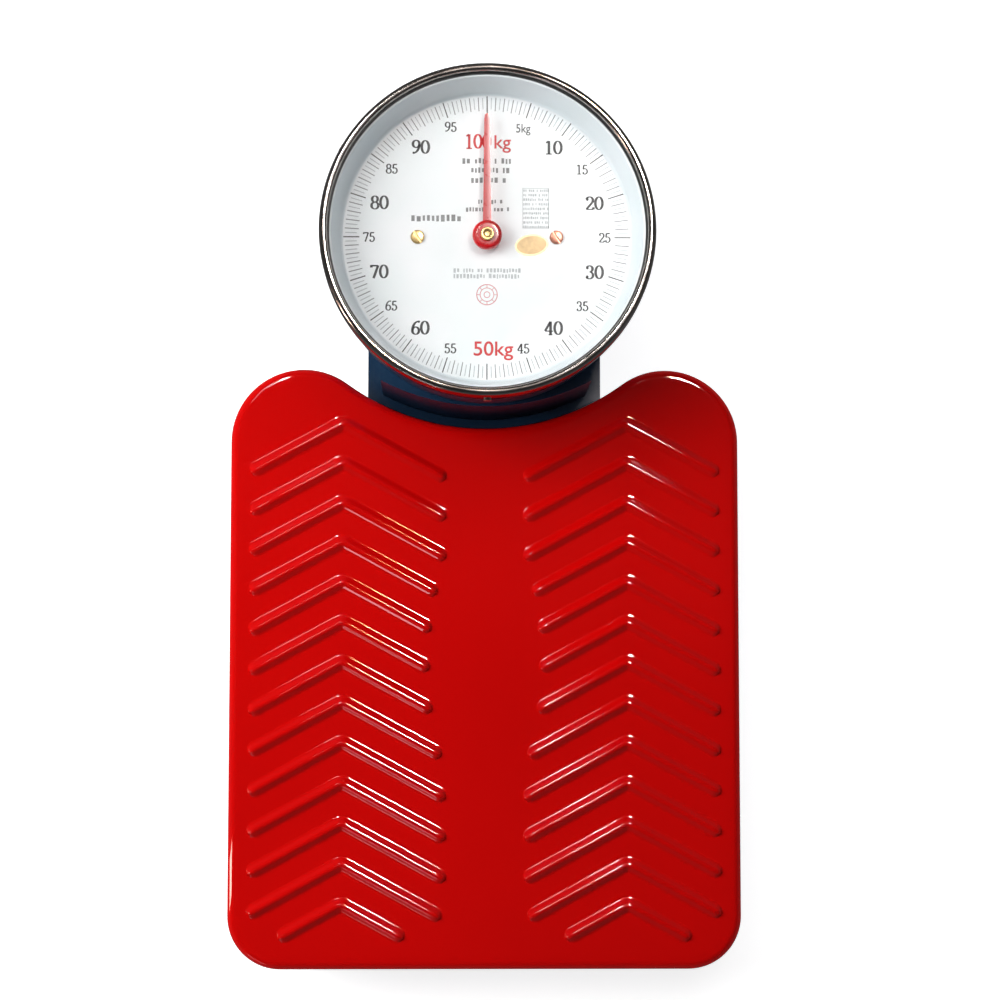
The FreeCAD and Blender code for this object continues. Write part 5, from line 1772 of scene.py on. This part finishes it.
# ---------------------------------------------------------------------------
# Fixings: screws, feet, thumbwheel
# ---------------------------------------------------------------------------
@dataclass
class Fixings:
    """Screws, feet and the thumbwheel, which repeat one small shape each."""

    foot_centres: Sequence[tuple[float, float]] = (
        (-0.123, -0.229), (0.123, -0.229), (-0.123, 0.053), (0.123, 0.053)
    )
    foot_radius: float = 13 * MM
    foot_height: float = 12 * MM
    foot_sides: int = 56
    wheel_notches: int = 48
    points_per_notch: int = 8
    notch_depth: float = 0.028
    slot_half_share: float = 0.16
    slot_depth_share: float = 0.55
    head_cells: int = 24
    setter: Tree = field(default_factory=scatter_tree)

    def foot_item(self) -> bpy.types.Object:
        """One rubber foot: a tapered puck with grooves and a recessed sole.

        Returns:
            The foot, to be set on points and then removed.
        """
        r, h = self.foot_radius, self.foot_height
        profile = [
            (0.0, 1.6 * MM), (3.6 * MM, 1.6 * MM), (4.4 * MM, 0.9 * MM), (5.2 * MM, 0.1 * MM),
            (6.0 * MM, 0.0),
            (r - 2.8 * MM, 0.0), (r - 1.9 * MM, 0.4 * MM), (r - 1.5 * MM, 1.4 * MM), (r - 1.3 * MM, 3.2 * MM),
            (r - 1.9 * MM, 3.8 * MM), (r - 1.2 * MM, 4.4 * MM), (r - 0.9 * MM, 6.4 * MM),
            (r - 1.5 * MM, 7.0 * MM),
            (r - 0.8 * MM, 7.6 * MM), (r - 0.2 * MM, h - 1.0 * MM), (r, h - 0.4 * MM), (r, h), (0.0, h),
        ]
        return turned("foot_item", profile, (0, 0, 0), self.foot_sides, RUBBER, crease=40)

    def build_feet(self) -> bpy.types.Object:
        """The four feet.

        Returns:
            The feet.
        """
        item = self.foot_item()
        spots = point_mesh("foot_spots", [(x, y, 0) for x, y in self.foot_centres])
        feet = self.setter.grow("feet", spots, RUBBER, {"Item": item, "Turn": 0.0}, crease=40)
        bpy.data.objects.remove(item)
        return feet

    def build_thumbwheel(self) -> bpy.types.Object:
        """The thumbwheel: a moulded disc whose rim is notched for the thumb.

        Returns:
            The thumbwheel.
        """
        low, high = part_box("zero_thumbwheel")
        radius = high.x
        centre = (0.0, (low.y + high.y) / 2, low.z)
        tall, notches = high.z - low.z, self.wheel_notches

        def notch(angle: float, r: float) -> float:
            """Radius factor: a scallop at each notch, only on the rim.

            Args:
                angle: Angle round the wheel.
                r: Radius.

            Returns:
                The factor.
            """
            if r < radius - 3 * MM:
                return 1.0
            return 1 - self.notch_depth * max(0.0, math.cos(notches * angle)) ** 3

        profile = [
            (4.0 * MM, 0.0), (radius - 6 * MM, 0.0), (radius - 2.0 * MM, 0.0), (radius - 0.3 * MM, 0.7 * MM),
            (radius, 1.5 * MM), (radius, tall - 1.5 * MM), (radius - 0.3 * MM, tall - 0.7 * MM),
            (radius - 2.0 * MM, tall), (radius - 6 * MM, tall), (radius - 7 * MM, tall - 0.8 * MM),
            (12 * MM, tall - 0.8 * MM), (11 * MM, tall), (4.0 * MM, tall),
        ]
        return turned(
            "thumbwheel", profile, centre, notches * self.points_per_notch, BLACK_MOULDING,
            crease=45, wobble=notch,
        )

    def screw_item(self, radius: float, height: float, finish: Finish) -> bpy.types.Object:
        """A domed screw head with a cut slot, facing +Z from its seat.

        Args:
            radius: The head's radius.
            height: The head's height.
            finish: Its finish.

        Returns:
            The item, to be set on points and then removed.
        """
        draft = MeshDraft()
        slot_half, slot_deep = radius * self.slot_half_share, height * self.slot_depth_share

        def dome(r: float) -> float:
            """Height of the dome at a radius."""
            return height * (0.55 + 0.45 * math.sqrt(max(0.0, 1 - (r / radius) ** 2)))

        cells = self.head_cells
        grid: dict[tuple[int, int], int] = {}
        spans = [radius * (2 * k / cells - 1) for k in range(cells + 1)]
        ys = sorted(set(spans) | {-slot_half, -slot_half * 0.98, slot_half * 0.98, slot_half})
        for i, v in enumerate(ys):
            half = math.sqrt(max(radius**2 - v**2, (0.04 * radius) ** 2))
            for j in range(cells + 1):
                u = half * math.sin(math.pi / 2 * (2 * j / cells - 1))
                z = dome(math.hypot(u, v))
                if abs(v) < slot_half * 0.99:
                    z = height - slot_deep
                grid[i, j] = len(draft.points)
                draft.points.append((u, v, z))
        for i in range(len(ys) - 1):
            for j in range(cells):
                draft.faces.append((grid[i, j], grid[i, j + 1], grid[i + 1, j + 1], grid[i + 1, j]))
                draft.finishes.append(0)
        rim = [grid[0, j] for j in range(cells + 1)]
        rim += [grid[i, cells] for i in range(1, len(ys))]
        rim += [grid[len(ys) - 1, j] for j in range(cells - 1, -1, -1)]
        rim += [grid[i, 0] for i in range(len(ys) - 2, 0, -1)]
        foot = draft.ring((draft.points[k][0], draft.points[k][1], -0.1 * MM) for k in rim)
        draft.strip(foot, rim)
        draft.cap(foot, False)
        return draft.object("screw_item", [finish], crease=30)

    def solids_of(self, node: str) -> list[tuple[Vector, Vector]]:
        """The boxes of a CAD node's separate solids, found by joining shared corners.

        Args:
            node: The node's name.

        Returns:
            (lowest, highest) corner of each, in a settled order.
        """
        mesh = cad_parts[node].data
        keys: dict[tuple[int, int, int], int] = {}
        parent: list[int] = []
        place: list[int] = []
        for vertex in mesh.vertices:
            key = tuple(round(c * 200000) for c in vertex.co)
            if key not in keys:
                keys[key] = len(parent)
                parent.append(keys[key])
            place.append(keys[key])

        def root(k: int) -> int:
            """The lead corner of a corner's group.

            Args:
                k: A corner's number.

            Returns:
                The lead corner's number.
            """
            while parent[k] != k:
                parent[k] = parent[parent[k]]
                k = parent[k]
            return k

        for polygon in mesh.polygons:
            first = place[polygon.vertices[0]]
            for other in polygon.vertices[1:]:
                parent[root(place[other])] = root(first)
        groups: dict[int, list[Vector]] = {}
        for vertex in mesh.vertices:
            groups.setdefault(root(place[vertex.index]), []).append(vertex.co)
        boxes = []
        for spots in groups.values():
            low = Vector(min(p[k] for p in spots) for k in range(3))
            high = Vector(max(p[k] for p in spots) for k in range(3))
            boxes.append((low, high))
        return sorted(boxes, key=lambda pair: tuple(round(c, 5) for c in pair[0]))

    def build_dial_screws(self) -> list[bpy.types.Object]:
        """The two screws that hold the dial plate: brass at the left, copper at the right.

        Returns:
            The two screws.
        """
        pieces = []
        for index, (low, high) in enumerate(self.solids_of("dial_plate_screws")):
            finish = (BRASS, COPPER)[index % 2]
            radius = (high.x - low.x) / 2
            item = self.screw_item(radius, high.z - low.z, finish)
            spot = ((low.x + high.x) / 2, (low.y + high.y) / 2, low.z)
            name = ("dial_screw_left", "dial_screw_right")[index % 2]
            made = self.setter.grow(
                name, point_mesh(name, [spot]), finish, {"Item": item, "Turn": 3.0}, crease=30
            )
            bpy.data.objects.remove(item)
            settle(made, Body.BASE, ["dial_plate_screws"] if index == 0 else [])
            pieces.append(made)
        return pieces

    def build(self) -> list[bpy.types.Object]:
        """Builds the fixings.

        Returns:
            The finished pieces.
        """
        return [
            settle(self.build_feet(), Body.BASE, ["rubber_feet"]),
            settle(self.build_thumbwheel(), Body.ZERO_WHEEL, ["zero_thumbwheel"]),
            *self.build_dial_screws(),
        ]


# ---------------------------------------------------------------------------
# CAD nodes that keep their shapes
# ---------------------------------------------------------------------------
@dataclass
class Dressing:
    """Worked finishes for the CAD nodes that stay on show."""

    by_slot: dict[str, Finish | GlassFinish] = field(
        default_factory=lambda: {
            "red_enamel": RED_ENAMEL, "navy_enamel": NAVY_ENAMEL, "zinc_steel": ZINC_STEEL,
            "dark_chrome": DARK_CHROME,
            "clear_glass": GLASS, "black_rubber": RUBBER, "dial_white": DIAL_WHITE, "trim_white": TRIM_WHITE,
            "brass_fittings": BRASS, "pointer_red": POINTER_RED, "spring_steel": SPRING_STEEL,
            "black_moulding": BLACK_MOULDING,
        }
    )
    gaskets: Sequence[str] = ("glass_gasket",)

    def dress(self) -> int:
        """Gives every carried-over node its finish.

        Returns:
            How many nodes were dressed.
        """
        count = 0
        for name, node in sorted(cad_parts.items()):
            slots = node.data.materials
            for index, material in enumerate(slots):
                key = (material.name if material else "zinc_steel").split(".")[0]
                finish = self.by_slot.get(key, ZINC_STEEL)
                if name in self.gaskets:
                    finish = GASKET
                slots[index] = SHELF.get(finish)
            if not len(slots):
                slots.append(SHELF.get(ZINC_STEEL))
            count += 1
        return count


# ---------------------------------------------------------------------------
# Studio
# ---------------------------------------------------------------------------
@dataclass(frozen=True)
class Lamp:
    """A soft studio lamp that looks at a point."""

    name: str
    place: Point
    aim: Point
    size: tuple[float, float]
    power: float
    colour: Colour
    job: LampJob

    def hang(self) -> None:
        """Adds the lamp to the scene."""
        light = bpy.data.lights.new(self.name, "AREA")
        light.shape = "RECTANGLE"
        light.size, light.size_y = self.size
        light.energy = self.power
        light.color = self.colour
        lamp = bpy.data.objects.new(self.name, light)
        lamp.visible_diffuse = self.job is not LampJob.GLEAM
        lamp.visible_glossy = self.job is not LampJob.FILL
        direction = Vector(self.aim) - Vector(self.place)
        lamp.matrix_world = Matrix.Translation(
            self.place
        ) @ direction.to_track_quat("-Z", "Y").to_matrix().to_4x4()
        bpy.context.scene.collection.objects.link(lamp)


@dataclass
class Studio:
    """Pale floor, soft lamps and the camera."""

    target: Point = (0.0089, 0.0181, 0.074)
    distance: float = 1.6
    tilt: float = 5.2
    lean: float = 1.2
    lens: float = 97.6
    floor_half: float = 3.0
    sky: float = 0.03
    horizon: float = 0.11
    sky_rise: float = 0.65
    sky_colour: Colour = (0.95, 0.97, 1.0)
    lamps: Sequence[Lamp] = (
        Lamp(
            "soft_left", (-0.95, 0.25, 0.95), (0.0, 0.0, 0.07), (0.9, 0.9), 17.0, (1.0, 0.99, 0.98),
            LampJob.FILL
        ),
        Lamp("soft_top", (0.1, 0.6, 1.5), (0.0, 0.1, 0.07), (1.2, 1.2), 9.0, (0.97, 0.99, 1.0), LampJob.FILL),
        Lamp(
            "rear_white", (0.30, 0.53, 1.27), (0.30, 0.53, 0.0), (0.11, 0.26), 24.0, (1.0, 0.93, 0.95),
            LampJob.GLEAM
        ),
        Lamp(
            "rear_warm", (0.30, 0.70, 1.27), (0.30, 0.70, 0.0), (0.11, 0.12), 7.0, (1.0, 0.60, 0.28),
            LampJob.GLEAM
        ),
        Lamp(
            "inner_thin", (-0.304, 0.61, 1.27), (-0.304, 0.61, 0.0), (0.05, 0.10), 4.0, (1.0, 1.0, 1.0),
            LampJob.GLEAM
        ),
        Lamp(
            "inner_faint", (-0.304, 0.58, 1.27), (-0.304, 0.58, 0.0), (0.04, 0.34), 1.5, (1.0, 0.94, 0.92),
            LampJob.GLEAM
        ),
        Lamp(
            "outer_faint", (-0.449, 0.58, 1.27), (-0.449, 0.58, 0.0), (0.04, 0.34), 0.9, (1.0, 0.9, 0.9),
            LampJob.GLEAM
        ),
        Lamp(
            "left_strip", (-0.95, -0.25, 0.30), (0.0, -0.1, 0.07), (0.05, 0.5), 2.0, (1.0, 0.66, 0.55),
            LampJob.GLEAM
        ),
        Lamp(
            "front_strip", (-0.55, -0.95, 0.30), (-0.1, -0.05, 0.07), (0.35, 0.05), 0.4, (1.0, 0.80, 0.86),
            LampJob.GLEAM
        ),
    )

    def build_camera(self) -> None:
        """Places the camera."""
        camera = bpy.data.cameras.new("camera")
        camera.lens = self.lens
        camera.sensor_width = 36
        camera.clip_start = 0.01
        holder = bpy.data.objects.new("camera", camera)
        turn = Matrix.Rotation(
            math.radians(-self.lean), 4, "Y"
        ) @ Matrix.Rotation(math.radians(self.tilt), 4, "X")
        holder.matrix_world = Matrix.Translation(self.target) @ turn @ Matrix.Translation(
            (0, 0, self.distance)
        )
        bpy.context.scene.collection.objects.link(holder)
        bpy.context.scene.camera = holder

    def build_floor(self) -> None:
        """Lays the pale floor."""
        draft = MeshDraft()
        h = self.floor_half
        draft.slab([(-h, -h), (h, -h), (h, h), (-h, h)], -0.02, -0.0002)
        floor = draft.object("floor", [PALE_FLOOR])
        floor.visible_glossy = False

    def build(self) -> None:
        """Sets up the studio."""
        self.build_camera()
        self.build_floor()
        for lamp in self.lamps:
            lamp.hang()
        world = bpy.data.worlds.new("studio")
        world.use_nodes = True
        nodes, links = world.node_tree.nodes, world.node_tree.links
        parts = nodes.new("ShaderNodeSeparateXYZ")
        links.new(nodes.new("ShaderNodeTexCoord").outputs["Generated"], parts.inputs[0])
        rise = nodes.new("ShaderNodeMapRange")
        links.new(parts.outputs["Z"], rise.inputs["Value"])
        for name, number in zip(
            ("From Min", "From Max", "To Min", "To Max"), (0.0, self.sky_rise, self.horizon, self.sky)
        ):
            rise.inputs[name].default_value = number
        background = nodes["Background"]
        background.inputs[0].default_value = (*self.sky_colour, 1)
        links.new(rise.outputs["Result"], background.inputs[1])
        bpy.context.scene.world = world
        bpy.context.scene.view_settings.view_transform = "Standard"


def main() -> None:
    """Builds everything in order and reports each piece."""
    logging.basicConfig(level=logging.INFO, format="%(name)s: %(message)s")
    Studio().build()
    LOG.info("dressed %d CAD nodes", Dressing().dress())
    for part in (Platform(), DialHead(), DialPrint(), Pointer(), Fixings()):
        for piece in part.build():
            LOG.info("%s: %s, %d faces", type(part).__name__, piece.name, len(piece.data.polygons))


if __name__ == "__main__":
    main()
